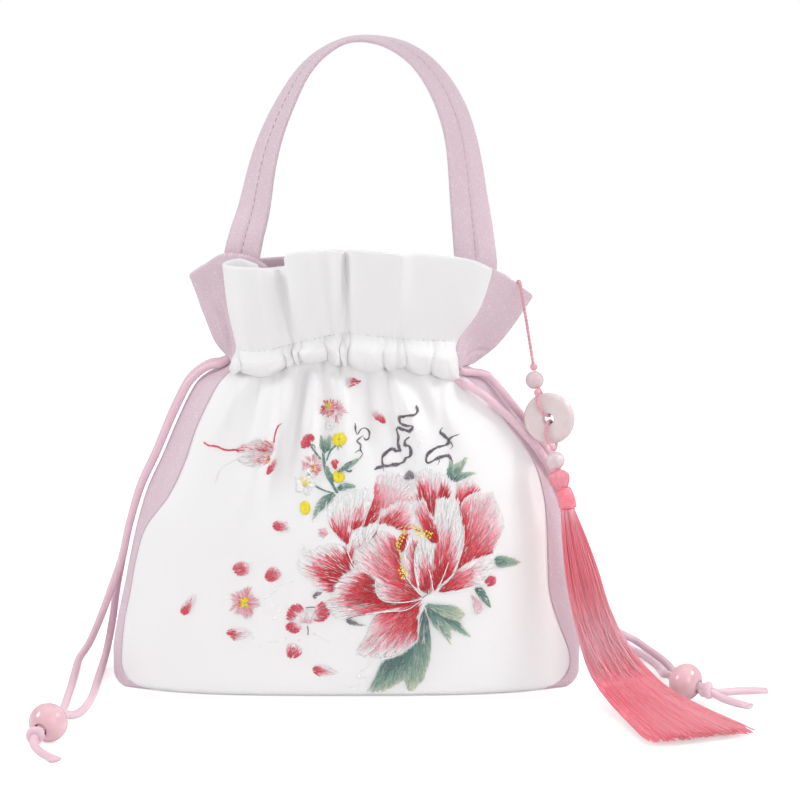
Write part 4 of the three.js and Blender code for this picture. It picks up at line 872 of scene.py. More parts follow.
front_cloth = sheet_shape(panel_grid(-1, 184, 110), CLOTH, 0).make("front_cloth", white_satin)
finish_cloth(front_cloth, "white_satin", "front_panel")
back_cloth = sheet_shape(panel_grid(1, 120, 74), CLOTH, 0).make("back_cloth", white_satin)
finish_cloth(back_cloth, "white_satin", "back_panel")


# ---- Embroidery
VIEW = 800


def tone(red, green, blue):
    """Linear colour from display values of 0 to 255."""
    shares = np.array([red, green, blue]) / 255
    return np.where(shares <= 0.04045, shares / 12.92, ((shares + 0.055) / 1.055) ** 2.4)


ROSE = [(0.0, tone(196, 32, 48)), (0.3, tone(224, 60, 74)), (0.55, tone(242, 128, 144)),
        (0.78, tone(252, 208, 217)), (1.0, tone(255, 255, 255))]
PALE_ROSE = [(0.0, tone(232, 128, 146)), (0.5, tone(243, 190, 202)), (1.0, tone(252, 246, 248))]
BUD_RED = [(0.0, tone(222, 70, 92)), (0.6, tone(228, 86, 108)), (0.9, tone(245, 190, 200)),
           (1.0, tone(252, 240, 243))]
LEAF = [(0.0, tone(92, 126, 122)), (0.45, tone(132, 166, 155)), (0.75, tone(164, 188, 172)),
        (1.0, tone(212, 218, 194))]
YELLOW = [(0.0, tone(250, 222, 24)), (1.0, tone(255, 244, 64))]
SMOKE = [(0.0, tone(96, 88, 97)), (1.0, tone(158, 150, 156))]
SNOW = [(0.0, tone(250, 248, 249)), (1.0, tone(255, 255, 255))]

# Each drawing: its left and top corner in the front view, which is VIEW units wide, and how many units of the
# drawing go to one of the view.
FLOWER = (290.0, 445.0, 7.127)
LOWER_LEAVES = (350.0, 600.0, 8.711)
SPRIG = (170.0, 370.0, 9.2235)
LOOSE_PETALS = (170.0, 540.0, 8.96)
TENDRILS = (330.0, 370.0, 10.453)
PANEL_HEAD = (200.0, 330.0, 5.807)

# Petals and leaves from back to front: drawing, outline, root of the stitches, colours, and the shares of the
# way from the root to the rim at which the deep tone ends and the palest one starts.
PATCHES = [
    (FLOWER, [(45, 870), (60, 800), (150, 740), (260, 700), (340, 700), (400, 720), (420, 790), (450, 860),
              (460, 885), (400, 920), (350, 970), (310, 1050), (220, 1040), (150, 990), (100, 940)],
     (560, 1010), ROSE, 0.42, 0.84),
    (FLOWER, [(255, 410), (330, 375), (430, 330), (540, 295), (560, 350), (575, 400), (545, 490), (510, 580),
              (440, 620), (405, 710), (340, 655), (300, 600), (265, 520), (255, 460)],
     (390, 780), ROSE, 0.22, 0.66),
    (FLOWER, [(605, 265), (650, 190), (720, 185), (800, 200), (850, 240), (890, 260), (900, 330), (905, 390),
              (850, 420), (780, 450), (700, 480), (650, 450), (630, 350)], (600, 620), PALE_ROSE, 0.25, 0.75),
    (FLOWER, [(520, 585), (545, 500), (590, 400), (600, 300), (625, 265), (640, 320), (665, 380), (650, 450),
              (640, 500), (600, 550)], (500, 660), ROSE, 0.62, 1.25),
    (FLOWER, [(895, 190), (960, 160), (1030, 175), (1100, 210), (1145, 260), (1155, 330), (1130, 400), (1100, 375),
              (1040, 400), (1030, 520), (980, 460), (950, 400), (905, 400), (830, 390), (880, 330), (895, 250)],
     (1010, 640), ROSE, 0.42, 0.78),
    (FLOWER, [(1180, 300), (1190, 260), (1250, 245), (1310, 245), (1350, 290), (1360, 330), (1290, 350),
              (1230, 395), (1205, 440), (1175, 380)], (1190, 500), ROSE, 0.3, 0.9),
    (FLOWER, [(1210, 440), (1240, 380), (1300, 345), (1400, 330), (1440, 320), (1465, 400), (1510, 500),
              (1525, 590), (1500, 660), (1470, 720), (1440, 770), (1330, 810), (1220, 870), (1190, 890),
              (1220, 760), (1240, 620), (1215, 520)], (1140, 1000), ROSE, 0.26, 1.05),
    (FLOWER, [(1135, 240), (1140, 160), (1200, 120), (1265, 80), (1240, 160), (1200, 230)],
     (1120, 290), LEAF, 0.3, 1.0),
    (FLOWER, [(1160, 255), (1200, 200), (1260, 190), (1335, 195), (1270, 228), (1200, 258)],
     (1110, 270), LEAF, 0.3, 0.95),
    (FLOWER, [(1128, 235), (1118, 170), (1150, 100), (1168, 180), (1160, 250)], (1140, 300), LEAF, 0.5, 1.1),
    (FLOWER, [(635, 560), (645, 490), (700, 440), (770, 390), (850, 395), (885, 450), (905, 540), (935, 620),
              (880, 600), (820, 610), (760, 600), (700, 575)], (600, 700), ROSE, 0.24, 0.86),
    (FLOWER, [(895, 410), (960, 398), (985, 460), (1030, 540), (1052, 640), (1052, 705), (1000, 690), (950, 620),
              (915, 540), (890, 470)], (1070, 780), ROSE, 0.55, 1.0),
    (FLOWER, [(1040, 410), (1120, 370), (1200, 375), (1210, 450), (1220, 540), (1238, 600), (1235, 700),
              (1210, 800), (1180, 900), (1110, 965), (1060, 1010), (1020, 1045), (1010, 960), (985, 850),
              (1000, 760), (1050, 700), (1050, 620), (1030, 540)], (1020, 1130), ROSE, 0.36, 0.74),
    (FLOWER, [(430, 690), (450, 620), (520, 590), (600, 548), (635, 565), (640, 610), (560, 690), (480, 735),
              (445, 780), (470, 870), (440, 845), (415, 760)], (420, 960), ROSE, 0.22, 0.62),
    (FLOWER, [(785, 640), (850, 625), (840, 690), (805, 760), (770, 745)], (790, 900), ROSE, 0.9, 1.8),
    (FLOWER, [(845, 620), (900, 665), (910, 700), (890, 760), (885, 860), (905, 1000), (890, 1020), (830, 930),
              (810, 860), (800, 800), (820, 700)], (960, 1130), ROSE, 0.22, 0.8),
    (FLOWER, [(920, 700), (960, 660), (1010, 690), (1040, 705), (1000, 760), (985, 860), (1010, 960), (1020, 1045),
              (960, 1055), (910, 1000), (890, 900), (890, 800), (900, 740)], (985, 1130), ROSE, 0.34, 0.74),
    (FLOWER, [(930, 1110), (915, 1200), (910, 1290), (915, 1380), (840, 1440), (750, 1500), (650, 1520),
              (540, 1512), (470, 1490), (490, 1430), (540, 1350), (560, 1280), (600, 1220), (700, 1185),
     (820, 1170)],
     (1010, 1050), ROSE, 0.32, 0.98),
    (FLOWER, [(245, 1130), (290, 1060), (320, 990), (390, 930), (470, 885), (560, 900), (610, 950), (615, 1040),
              (660, 1100), (760, 1125), (935, 1100), (830, 1170), (700, 1185), (560, 1200), (430, 1232),
              (330, 1240), (270, 1190)], (1010, 1090), ROSE, 0.5, 0.88),
    (FLOWER, [(445, 790), (460, 740), (530, 710), (580, 660), (640, 620), (700, 615), (750, 660), (770, 740),
              (790, 810), (800, 880), (830, 940), (880, 1010), (935, 1075), (940, 1090), (850, 1112),
              (740, 1116), (655, 1100), (612, 1040), (610, 960), (570, 930), (480, 880)],
     (1010, 1120), ROSE, 0.32, 1.0),
    (FLOWER, [(1060, 1035), (1140, 960), (1190, 890), (1260, 850), (1360, 810), (1448, 765), (1465, 830),
              (1450, 880), (1420, 920), (1380, 978), (1300, 1000), (1200, 1030), (1080, 1052)],
     (980, 1090), ROSE, 0.3, 0.8),
    (FLOWER, [(1385, 975), (1420, 930), (1465, 940), (1465, 985), (1420, 1010)], (1380, 1000), BUD_RED, 0.5, 1.3),
    (FLOWER, [(1290, 1060), (1330, 1100), (1380, 1160), (1340, 1210), (1310, 1180), (1300, 1110)],
     (1280, 1030), PALE_ROSE, -0.2, 1.2),
    (FLOWER, [(1315, 1015), (1370, 1020), (1410, 1080), (1430, 1160), (1380, 1120), (1340, 1070)],
     (1290, 980), LEAF, 0.7, 1.6),
    (FLOWER, [(1450, 812), (1500, 785), (1568, 795), (1645, 838), (1570, 865), (1500, 872), (1465, 850)],
     (1410, 830), LEAF, 0.3, 1.0),
    (FLOWER, [(335, 310), (370, 275), (430, 272), (475, 297), (430, 312), (370, 328)], (310, 315), LEAF, 0.4, 1.2),
    (FLOWER, [(335, 195), (380, 150), (440, 112), (505, 88), (470, 132), (420, 168), (370, 188)],
     (310, 215), LEAF, 0.4, 1.2),
    (FLOWER, [(400, 1240), (440, 1245), (500, 1270), (545, 1282), (470, 1285), (420, 1275)],
     (380, 1240), SMOKE, 0.2, 1.0),
    (FLOWER, [(160, 1080), (185, 1045), (232, 1048), (205, 1078), (175, 1092)], (130, 1090), SMOKE, 0.2, 1.0),
    (FLOWER, [(805, 240), (845, 180), (878, 195), (882, 242)], (880, 260), SMOKE, 0.0, 0.8),
    (LOWER_LEAVES, [(640, 80), (675, 150), (700, 300), (705, 450), (680, 580), (640, 690), (560, 770), (510, 800),
                    (470, 710), (400, 740), (290, 790), (150, 790), (210, 690), (250, 600), (300, 520), (380, 500),
                    (480, 450), (560, 380), (600, 340), (605, 200)], (660, -60), LEAF, 0.5, 1.0),
    (LOWER_LEAVES, [(660, 30), (780, 38), (900, 48), (980, 90), (1005, 140), (950, 180), (860, 160), (760, 110)],
     (600, -10), LEAF, -0.1, 0.9),
    (LOWER_LEAVES, [(660, 40), (760, 110), (860, 160), (950, 190), (1000, 250), (1052, 320), (960, 290), (880, 260),
                    (887, 390), (830, 320), (760, 260), (700, 180)], (620, -20), LEAF, 0.45, 1.05),
    (SPRIG, [(1392, 620), (1400, 700), (1425, 775), (1470, 690), (1482, 598), (1440, 640)],
     (1425, 830), LEAF, 0.3, 1.1),
    (PANEL_HEAD, [(735, 702), (738, 650), (754, 602), (764, 640), (757, 690)], (738, 725), LEAF, 0.3, 1.1),
    (PANEL_HEAD, [(700, 690), (694, 650), (700, 606), (716, 640), (728, 694)], (724, 716), LEAF, 0.3, 1.1),
    (PANEL_HEAD, [(738, 786), (722, 812), (738, 862), (770, 900), (776, 862), (758, 818)],
     (792, 930), LEAF, 0.4, 1.3),
    (PANEL_HEAD, [(245, 694), (300, 642), (370, 630), (418, 650), (424, 690), (402, 742), (330, 796), (250, 784),
                  (212, 746), (300, 712)], (440, 700), PALE_ROSE, -0.2, 0.7),
    (SPRIG, [(1310, 1410), (1330, 1290), (1380, 1190), (1450, 1150), (1530, 1145), (1470, 1220), (1400, 1290),
             (1340, 1350)], (1560, 1100), LEAF, 0.4, 1.2),
    (SPRIG, [(1205, 690), (1240, 600), (1290, 585), (1325, 610), (1320, 660), (1280, 715), (1230, 722)],
     (1340, 740), BUD_RED, 0.6, 1.4),
    (SPRIG, [(1485, 850), (1510, 820), (1552, 840), (1548, 900), (1520, 922), (1495, 880)],
     (1560, 960), BUD_RED, 0.6, 1.4),
    (SPRIG, [(890, 968), (900, 890), (940, 850), (992, 798), (988, 870), (960, 920)],
     (850, 1010), BUD_RED, 0.2, 0.85),
    (SPRIG, [(610, 740), (670, 690), (760, 660), (850, 638), (940, 668), (952, 720), (940, 760), (850, 752),
             (760, 742), (680, 764)], (1010, 740), ROSE, 0.34, 1.0),
    (SPRIG, [(605, 738), (660, 695), (720, 685), (700, 740), (640, 758)], (560, 740), BUD_RED, 0.6, 1.1),
    (SPRIG, [(645, 842), (700, 800), (800, 788), (900, 788), (925, 820), (880, 870), (800, 892), (720, 882)],
     (1000, 780), ROSE, 0.2, 0.62),
    (SPRIG, [(945, 1430), (1000, 1385), (1090, 1402), (1112, 1470), (1050, 1500), (970, 1480)],
     (900, 1440), BUD_RED, 0.1, 0.8),
    (LOOSE_PETALS, [(560, 270), (590, 210), (650, 185), (715, 225), (715, 280), (680, 315), (610, 320)],
     (530, 310), BUD_RED, 0.2, 1.0),
    (LOOSE_PETALS, [(850, 320), (880, 260), (930, 230), (1000, 280), (990, 330), (930, 375), (870, 365)],
     (830, 390), BUD_RED, 0.2, 1.0),
    (LOOSE_PETALS, [(90, 640), (120, 570), (170, 520), (232, 478), (225, 560), (190, 630), (150, 670), (105, 665)],
     (90, 730), BUD_RED, 0.2, 0.75),
    (LOOSE_PETALS, [(505, 830), (560, 790), (640, 785), (730, 830), (700, 870), (640, 890), (590, 905),
                    (540, 870)], (460, 840), BUD_RED, 0.15, 0.6),
    (LOOSE_PETALS, [(1040, 990), (1060, 920), (1110, 925), (1180, 960), (1188, 1000), (1150, 1040), (1100, 1065),
                    (1055, 1045)], (1070, 1120), BUD_RED, 0.2, 0.9),
    (LOOSE_PETALS, [(1270, 1160), (1310, 1120), (1370, 1115), (1440, 1140), (1502, 1180), (1460, 1210),
                    (1370, 1222), (1300, 1195)], (1210, 1160), BUD_RED, 0.15, 0.65),
    (LOOSE_PETALS, [(1195, 620), (1300, 640), (1330, 700), (1260, 750), (1180, 740), (1120, 700)],
     (1225, 760), PALE_ROSE, 0.0, 0.6),
    (LOOSE_PETALS, [(1040, 680), (1060, 620), (1110, 570), (1170, 580), (1198, 640), (1150, 680), (1100, 722),
                    (1050, 712)], (1250, 760), BUD_RED[::-1], 0.0, 0.0),
    (LOOSE_PETALS, [(1030, 780), (1060, 740), (1120, 740), (1180, 780), (1160, 820), (1110, 835), (1055, 815)],
     (1250, 740), BUD_RED[::-1], 0.0, 0.0),
    (LOOSE_PETALS, [(1300, 620), (1330, 560), (1380, 553), (1430, 600), (1437, 660), (1390, 720), (1330, 735),
                    (1272, 720)], (1190, 700), BUD_RED[::-1], 0.0, 0.0),
    (TENDRILS, [(165, 90), (240, 88), (328, 116), (270, 155), (195, 190), (172, 150)],
     (380, 120), BUD_RED, 0.3, 0.9),
    (TENDRILS, [(440, 442), (510, 425), (560, 490), (582, 567), (520, 540), (460, 500)],
     (620, 630), BUD_RED, 0.3, 0.8),
]

# Outline and stem stitches: drawing, line, colours, width of the line in millimetres.
LINES = [
    (FLOWER, [(610, 960), (615, 1040), (660, 1105), (800, 1120), (940, 1095)], SNOW, 0.55),
    (FLOWER, [(930, 1110), (830, 1172), (700, 1184), (560, 1202), (430, 1233)], SNOW, 0.55),
    (FLOWER, [(1238, 560), (1236, 700), (1210, 800), (1170, 900), (1110, 970), (1030, 1050)], SNOW, 0.5),
    (FLOWER, [(910, 700), (890, 780), (885, 860), (900, 960), (930, 1060)], SNOW, 0.5),
    (FLOWER, [(985, 870), (1005, 950), (1022, 1045)], SNOW, 0.5),
    (FLOWER, [(800, 880), (830, 940), (880, 1010), (930, 1070)], SNOW, 0.5),
    (FLOWER, [(405, 740), (430, 810), (470, 885)], SNOW, 0.45),
    (FLOWER, [(1080, 1052), (1200, 1042), (1300, 1012), (1380, 978)], SNOW, 0.55),
    (FLOWER, [(965, 1105), (935, 1170), (915, 1260), (912, 1380)], SNOW, 0.45),
    (FLOWER, [(960, 1150), (985, 1230), (1012, 1310)], SNOW, 0.45),
    (FLOWER, [(1130, 830), (1090, 940), (1050, 1020)], SNOW, 0.45),
    (FLOWER, [(262, 400), (254, 470), (268, 540), (300, 612), (345, 662)], SNOW, 0.45),
    (FLOWER, [(1440, 320), (1467, 400), (1512, 500), (1528, 590)], SNOW, 0.45),
    (FLOWER, [(630, 560), (650, 490), (700, 440)], SNOW, 0.35),
    (FLOWER, [(520, 585), (548, 495), (580, 410)], SNOW, 0.35),
    (FLOWER, [(915, 1380), (840, 1440), (750, 1502), (650, 1522)], SNOW, 0.45),
    (FLOWER, [(400, 1240), (480, 1215), (600, 1200)], SMOKE, 0.35),
    (FLOWER, [(940, 1090), (975, 1065), (1015, 1050)], LEAF, 0.6),
    (LOWER_LEAVES, [(640, 110), (620, 350), (590, 480), (540, 640)], LEAF, 0.3),
    (LOWER_LEAVES, [(575, 420), (480, 560), (390, 650)], LEAF, 0.3),
    (LOWER_LEAVES, [(530, 460), (400, 545), (235, 632)], LEAF, 0.3),
    (LOWER_LEAVES, [(665, 35), (780, 130), (900, 205), (1040, 315)], LEAF, 0.4),
    (LOWER_LEAVES, [(700, 100), (760, 200), (805, 280)], LEAF, 0.35),
    (LOWER_LEAVES, [(170, 510), (172, 575), (100, 620), (72, 672), (140, 668), (150, 705)], SNOW, 0.45),
    (LOWER_LEAVES, [(-60, 700), (0, 768), (70, 740)], SNOW, 0.45),
    (SPRIG, [(1415, 760), (1420, 840), (1440, 940), (1490, 1040), (1545, 1140)], LEAF, 1.2),
    (SPRIG, [(1300, 700), (1340, 760), (1398, 828)], LEAF, 0.8),
    (SPRIG, [(1535, 690), (1480, 745), (1445, 840)], LEAF, 0.8),
    (SPRIG, [(1335, 1070), (1420, 1110), (1520, 1142)], LEAF, 0.8),
    (SPRIG, [(1545, 925), (1530, 985), (1500, 1040)], LEAF, 0.4),
    (PANEL_HEAD, [(784, 672), (808, 664), (830, 690)], LEAF, 0.5), (PANEL_HEAD, [(800, 656), (803, 700)],
     LEAF, 0.5),
    (PANEL_HEAD, [(640, 672), (656, 660), (668, 690)], LEAF, 0.5), (PANEL_HEAD, [(790, 806), (806, 800)],
     LEAF, 0.5),
    (PANEL_HEAD, [(846, 812), (870, 826), (884, 812)], SMOKE, 0.7),
    (SPRIG, [(305, 660), (360, 698), (430, 702), (510, 738), (620, 735)], BUD_RED, 0.7),
    (SPRIG, [(955, 685), (965, 600), (988, 532), (1012, 500)], BUD_RED, 0.7),
    (SPRIG, [(1008, 508), (1040, 484)], LEAF, 0.45),
    (SPRIG, [(415, 1040), (450, 945), (500, 880), (620, 820)], SNOW, 0.45),
    (SPRIG, [(800, 744), (880, 765), (945, 776)], YELLOW, 0.9), (SPRIG, [(900, 715), (945, 722)], YELLOW, 0.8),
    (SPRIG, [(850, 812), (900, 815)], YELLOW, 0.5),
    (LOOSE_PETALS, [(1200, 612), (1250, 602), (1305, 600)], SMOKE, 0.6),
    (LOOSE_PETALS, [(1226, 760), (1238, 800), (1236, 860)], SMOKE, 0.6),
    (LOOSE_PETALS, [(830, 520), (890, 492), (940, 445), (1010, 398), (1105, 370)], SNOW, 0.35),
    (LOOSE_PETALS, [(870, 905), (920, 915), (975, 905)], SNOW, 0.55),
    (LOOSE_PETALS, [(1290, 838), (1360, 872), (1435, 915)], SNOW, 0.55),
    (TENDRILS, [(262, 555), (270, 640), (290, 672), (320, 622), (370, 608), (412, 650), (400, 718), (365, 728),
                (345, 690)], SMOKE, 0.7),
    (TENDRILS, [(352, 678), (285, 740), (320, 782), (318, 830), (338, 880), (300, 930), (240, 950), (150, 990)],
     SMOKE, 0.7),
    (TENDRILS, [(320, 835), (285, 848), (255, 872)], SMOKE, 0.75),
    (TENDRILS, [(895, 375), (915, 430), (880, 470), (790, 480), (730, 500), (742, 560), (800, 580), (862, 590),
                (830, 640), (770, 620), (700, 615), (715, 700), (710, 780), (745, 850)], SMOKE, 1.5),
    (TENDRILS, [(745, 850), (700, 845), (640, 828), (580, 870), (545, 930), (570, 1000), (700, 985), (770, 960),
                (790, 920), (842, 898), (842, 830), (818, 790), (785, 790), (785, 740), (832, 698)], SMOKE, 1.5),
    (TENDRILS, [(600, 992), (530, 1010), (460, 1045)], SMOKE, 1.5),
    (TENDRILS, [(548, 960), (560, 1060)], SMOKE, 0.7),
    (TENDRILS, [(1175, 600), (1150, 650), (1200, 690), (1242, 740), (1220, 780), (1120, 810), (1040, 860),
                (1005, 930), (1030, 970), (1130, 920), (1190, 900), (1245, 902), (1285, 965)], SMOKE, 1.5),
    (TENDRILS, [(1242, 750), (1270, 702), (1355, 670)], SMOKE, 0.75),
    (TENDRILS, [(1260, 745), (1282, 800), (1250, 825)], SMOKE, 0.7),
    (TENDRILS, [(1130, 925), (1142, 955), (1118, 1000)], SMOKE, 0.7),
]

# Round motifs: drawing, centre, inner and outer radius, stitches, colours.
BURSTS = [
    (SPRIG, (1530, 385), 20, 128, 40, PALE_ROSE), (SPRIG, (1465, 350), 34, 108, 44, BUD_RED), (SPRIG, (1464, 334),
     4, 56, 40, YELLOW),
    (SPRIG, (1476, 512), 4, 60, 40, SNOW), (SPRIG, (1310, 870), 30, 120, 60, PALE_ROSE),
    (SPRIG, (1335, 915), 10, 72, 36, BUD_RED), (SPRIG, (1322, 898), 6, 40, 20, YELLOW),
    (SPRIG, (1245, 1060), 20, 112, 110, SNOW), (SPRIG, (1258, 1026), 4, 66, 44, YELLOW),
    (SPRIG, (1562, 640), 2, 76, 110, YELLOW), (SPRIG, (1556, 982), 2, 66, 90, YELLOW),
    (SPRIG, (1247, 1252), 2, 52, 70, YELLOW), (SPRIG, (1247, 1290), 2, 52, 70, YELLOW),
    (FLOWER, (235, 627), 4, 46, 34, PALE_ROSE), (FLOWER, (95, 740), 4, 40, 20, SNOW), (SPRIG, (1275, 965),
     10, 90, 44, SNOW),
    (SPRIG, (890, 828), 2, 34, 14, YELLOW),
    (LOOSE_PETALS, (670, 560), 50, 165, 100, PALE_ROSE), (LOOSE_PETALS, (670, 562), 30, 95, 44, BUD_RED),
    (LOOSE_PETALS, (670, 560), 4, 76, 40, YELLOW),
]

# Knots: drawing, places, size in millimetres, colours.
KNOTS = [
    (FLOWER, [(822, 580), (812, 602), (828, 612), (798, 622), (816, 634), (790, 648), (806, 658), (780, 668),
              (796, 682), (770, 694), (786, 704), (762, 716), (776, 726), (768, 744), (782, 752), (758, 700),
              (862, 584), (880, 592), (898, 584), (912, 600), (930, 594), (902, 616), (922, 622), (940, 636),
              (914, 642), (930, 656), (958, 628), (972, 612), (990, 622), (1004, 634), (980, 644), (996, 658),
              (968, 654), (1012, 626), (790, 872), (806, 862), (776, 890), (796, 892), (814, 884), (824, 904),
              (804, 910), (786, 912), (822, 924), (806, 932), (812, 950), (796, 944), (830, 912), (794, 800)],
    1.05, YELLOW),
    (LOOSE_PETALS, [(735, 200), (1100, 370), (1010, 395), (940, 442), (885, 495), (852, 515), (912, 585),
                    (870, 650), (976, 640), (936, 702), (745, 876), (812, 957), (1030, 880), (1160, 895),
                    (1290, 838), (690, 205), (880, 640), (950, 700)], 1.25, SNOW),
    (LOWER_LEAVES, [(172, 572), (102, 618), (74, 672), (142, 668), (152, 706), (20, 762), (70, 742)], 1.2, SNOW),
    (TENDRILS, [(948, 635), (890, 690), (945, 750), (920, 800), (905, 880), (890, 960)], 1.0, SNOW),
]


def on_cloth(points, drawing):
    """Across and up on the front panel, in millimetres, of points of a drawing seen from the front."""
    left, top, scale = drawing
    points = np.asarray(points, float)
    side = (left + points[..., 0] / scale - VIEW / 2) / (VIEW * LENS / SENSOR)
    rise = (VIEW / 2 - top - points[..., 1] / scale) / (VIEW * LENS / SENSOR)
    ahead = math.cos(TILT) + rise * math.sin(TILT)
    climb = rise * math.cos(TILT) - math.sin(TILT)
    depth = np.full(side.shape, -38.0)
    for _ in range(6):
        reach = (depth + AIM_REACH * math.cos(TILT)) / ahead
        across, up = AIM_ACROSS + side * reach, AIM_HEIGHT + AIM_REACH * math.sin(TILT) + climb * reach
        depth = front_y(across, np.maximum(up, 4.0))
    return np.stack([across, up], -1)


def ramp(colours, share):
    """Colours at shares of a list of (stop, colour), which may run backwards."""
    stops = np.array([stop for stop, _ in colours])
    values = np.array([value for _, value in colours])
    if stops[0] > stops[-1]:
        stops = 1 - stops
    return np.stack([np.interp(share, stops, values[:, k]) for k in range(3)], -1)


def inside(points, outline):
    """Which of the points lie inside the outline."""
    x, y = points[:, 0][:, None], points[:, 1][:, None]
    start, end = outline, np.roll(outline, -1, 0)
    over = (start[:, 1] > y) != (end[:, 1] > y)
    cut = (end[:, 0] - start[:, 0]) * (y - start[:, 1]) / (end[:, 1] - start[:, 1] + 1e-12) + start[:, 0]
    return (over & (x < cut)).sum(1) % 2 == 1


def rim_reach(points, root, outline):
    """Nearest and farthest crossing of the outline on the ray from the root through each point."""
    way = unit(points - root)
    start, edge = outline - root, np.roll(outline, -1, 0) - outline
    cross = way[:, 0][:, None] * edge[:, 1] - way[:, 1][:, None] * edge[:, 0]
    cross = np.where(np.abs(cross) < 1e-9, 1e-9, cross)
    reach = (start[:, 0] * edge[:, 1] - start[:, 1] * edge[:, 0]) / cross
    place = (start[:, 0] * way[:, 1][:, None] - start[:, 1] * way[:, 0][:, None]) / cross
    hit = (place >= 0) & (place <= 1) & (reach > 0)
    far = np.where(hit, reach, -1).max(1)
    near = np.where(hit, reach, 1e9).min(1)
    return np.where(near > far - 1e-6, 0, near), far


STITCH_WIDTH = 0.42
THIN_STITCH = 0.34
PATCH_COVER = 2.3


class Stitches:
    """Straight stitches on the front panel: ends, widths and colours."""

    def __init__(self, seed):
        self.random = np.random.default_rng(seed)
        self.rows = []

    def add(self, start, end, width, colour, lift):
        column = np.ones((len(start), 1))
        width = np.reshape(width, (-1, 1)) * column
        self.rows.append(np.concatenate([start, end, width, colour, lift * column], 1))

    def patch(self, drawing, outline, root, colours, deep, pale, lift):
        """Long and short stitches that fan out from a root and fill an outline."""
        outline, root = on_cloth(outline, drawing), on_cloth(root, drawing)
        outline = line_at(np.concatenate([outline[-1:], outline, outline[:2]]),
                          np.linspace(1, len(outline) + 1, 5 * len(outline), endpoint=False) / (len(outline) + 2))
        x, y = outline.T
        area = abs((x * np.roll(y, -1) - y * np.roll(x, -1)).sum()) / 2
        length = np.clip(math.sqrt(area) * 0.42, 1.8, 6.0)
        count = int(area / (STITCH_WIDTH * length * 0.7) * PATCH_COVER) + 6
        low, high = outline.min(0), outline.max(0)
        tries = int(count * (high - low).prod() / area * 1.1) + 10
        middle = low + self.random.random((tries, 2)) * (high - low)
        middle = middle[inside(middle, outline)][:count]
        near, far = rim_reach(middle, root, outline)
        reach = np.linalg.norm(middle - root, axis=1)
        share = np.clip((reach - near) / np.maximum(0.5, far - near), 0, 1)
        turn = self.random.normal(0, 0.07, len(middle))[:, None]
        way = unit(middle - root)
        way = unit(way + turn * np.stack([-way[:, 1], way[:, 0]], 1))
        half = length * self.random.uniform(0.32, 0.62, (len(middle), 1))
        start, end = middle - way * half, middle + way * half
        for _ in range(3):
            out = ~inside(end, outline)
            end[out] = lerp(middle[out], end[out], 0.6)
            out = ~inside(start, outline)
            start[out] = lerp(middle[out], start[out], 0.6)
        if deep or pale:
            span = max(0.05, pale - deep)
            share = 0.28 + (share + self.random.normal(0, 0.075, len(share)) - deep) / span * 0.72
        else:
            share = share + self.random.normal(0, 0.08, len(share))
        colour = ramp(colours, np.clip(share, 0, 1))
        colour = np.clip(colour * self.random.normal(1, 0.05, (len(share), 1)), 0, 1)
        order = self.random.uniform(0, 0.12, len(share))
        keep = np.linalg.norm(end - start, axis=1) > 0.5
        width = STITCH_WIDTH * self.random.uniform(0.85, 1.15, keep.sum())
        self.add(start[keep], end[keep], width, colour[keep], lift)
        self.rows[-1][:, -1] += order[keep]

    def line(self, drawing, points, colours, width, lift):
        """Stem stitch: short stitches that overlap along a line."""
        line = on_cloth(line_at(points, np.linspace(0, 1, 16 * len(points))), drawing)
        along = run_along(line)
        strands = max(1, int(round(width / 0.4)))
        for strand in range(strands):
            aside = (strand - (strands - 1) / 2) * 0.36
            at = np.arange(self.random.random(), max(along[-1] - 0.8, 0.1), 1.0)
            ends = [read_along(line, along, at + shift) for shift in (-0.35, 1.35)]
            way = unit(ends[1] - ends[0])
            side = np.stack([-way[:, 1], way[:, 0]], 1) * (aside + self.random.normal(0, 0.04, (len(at), 1)))
            colour = ramp(colours, self.random.uniform(0, 0.7, len(at)))
            self.add(ends[0] + side, ends[1] + side, min(0.52, max(width, THIN_STITCH)), colour, lift)

    def tendril(self, drawing, points, colours, width, lift):
        """Short slanted stitches side by side along a line, longer and shorter in turn."""
        line = on_cloth(line_at(points, np.linspace(0, 1, 16 * len(points))), drawing)
        along = run_along(line)
        at = np.arange(0.2, along[-1] - 0.2, 0.26)
        middle = read_along(line, along, at)
        way = unit(read_along(line, along, at + 0.4) - middle)
        lean = np.array([way[:, 1] + 0.75 * way[:, 0], -way[:, 0] + 0.75 * way[:, 1]]).T
        swell = 0.5 + 0.5 * np.sin(at * 0.9 + self.random.uniform(0, 6)) * np.sin(at * 0.37 + 1)
        taper = smooth(at / 2.5) * smooth((along[-1] - at) / 2.5)
        half = width * (0.28 + 0.62 * swell) * (0.45 + 0.55 * taper) * self.random.uniform(0.75, 1.2, len(at))
        colour = ramp(colours, np.clip(self.random.normal(0.3, 0.25, len(at)), 0, 1))
        reach = unit(lean) * half[:, None]
        self.add(middle - reach, middle + reach, THIN_STITCH, colour, lift)

    def burst(self, drawing, centre, inner, outer, count, colours, lift):
        """Stitches that radiate from a centre: five petals, or a round bud where they start at it."""
        centre = np.array(centre, float)
        angle = self.random.uniform(0, 2 * math.pi, count)
        way = np.stack([np.cos(angle), np.sin(angle)], 1)
        petal = 1.0 if inner < 3 else 0.72 + 0.28 * np.cos(2.5 * angle) ** 2
        outer = outer * petal * self.random.uniform(0.8, 1.05, count)
        inner = inner * self.random.uniform(0.5, 1.2, count)
        colour = ramp(colours, np.clip(self.random.uniform(0.0, 0.9, count), 0, 1))
        self.add(on_cloth(centre + way * inner[:, None], drawing), on_cloth(centre + way * outer[:, None], drawing),
                 STITCH_WIDTH, colour, lift)

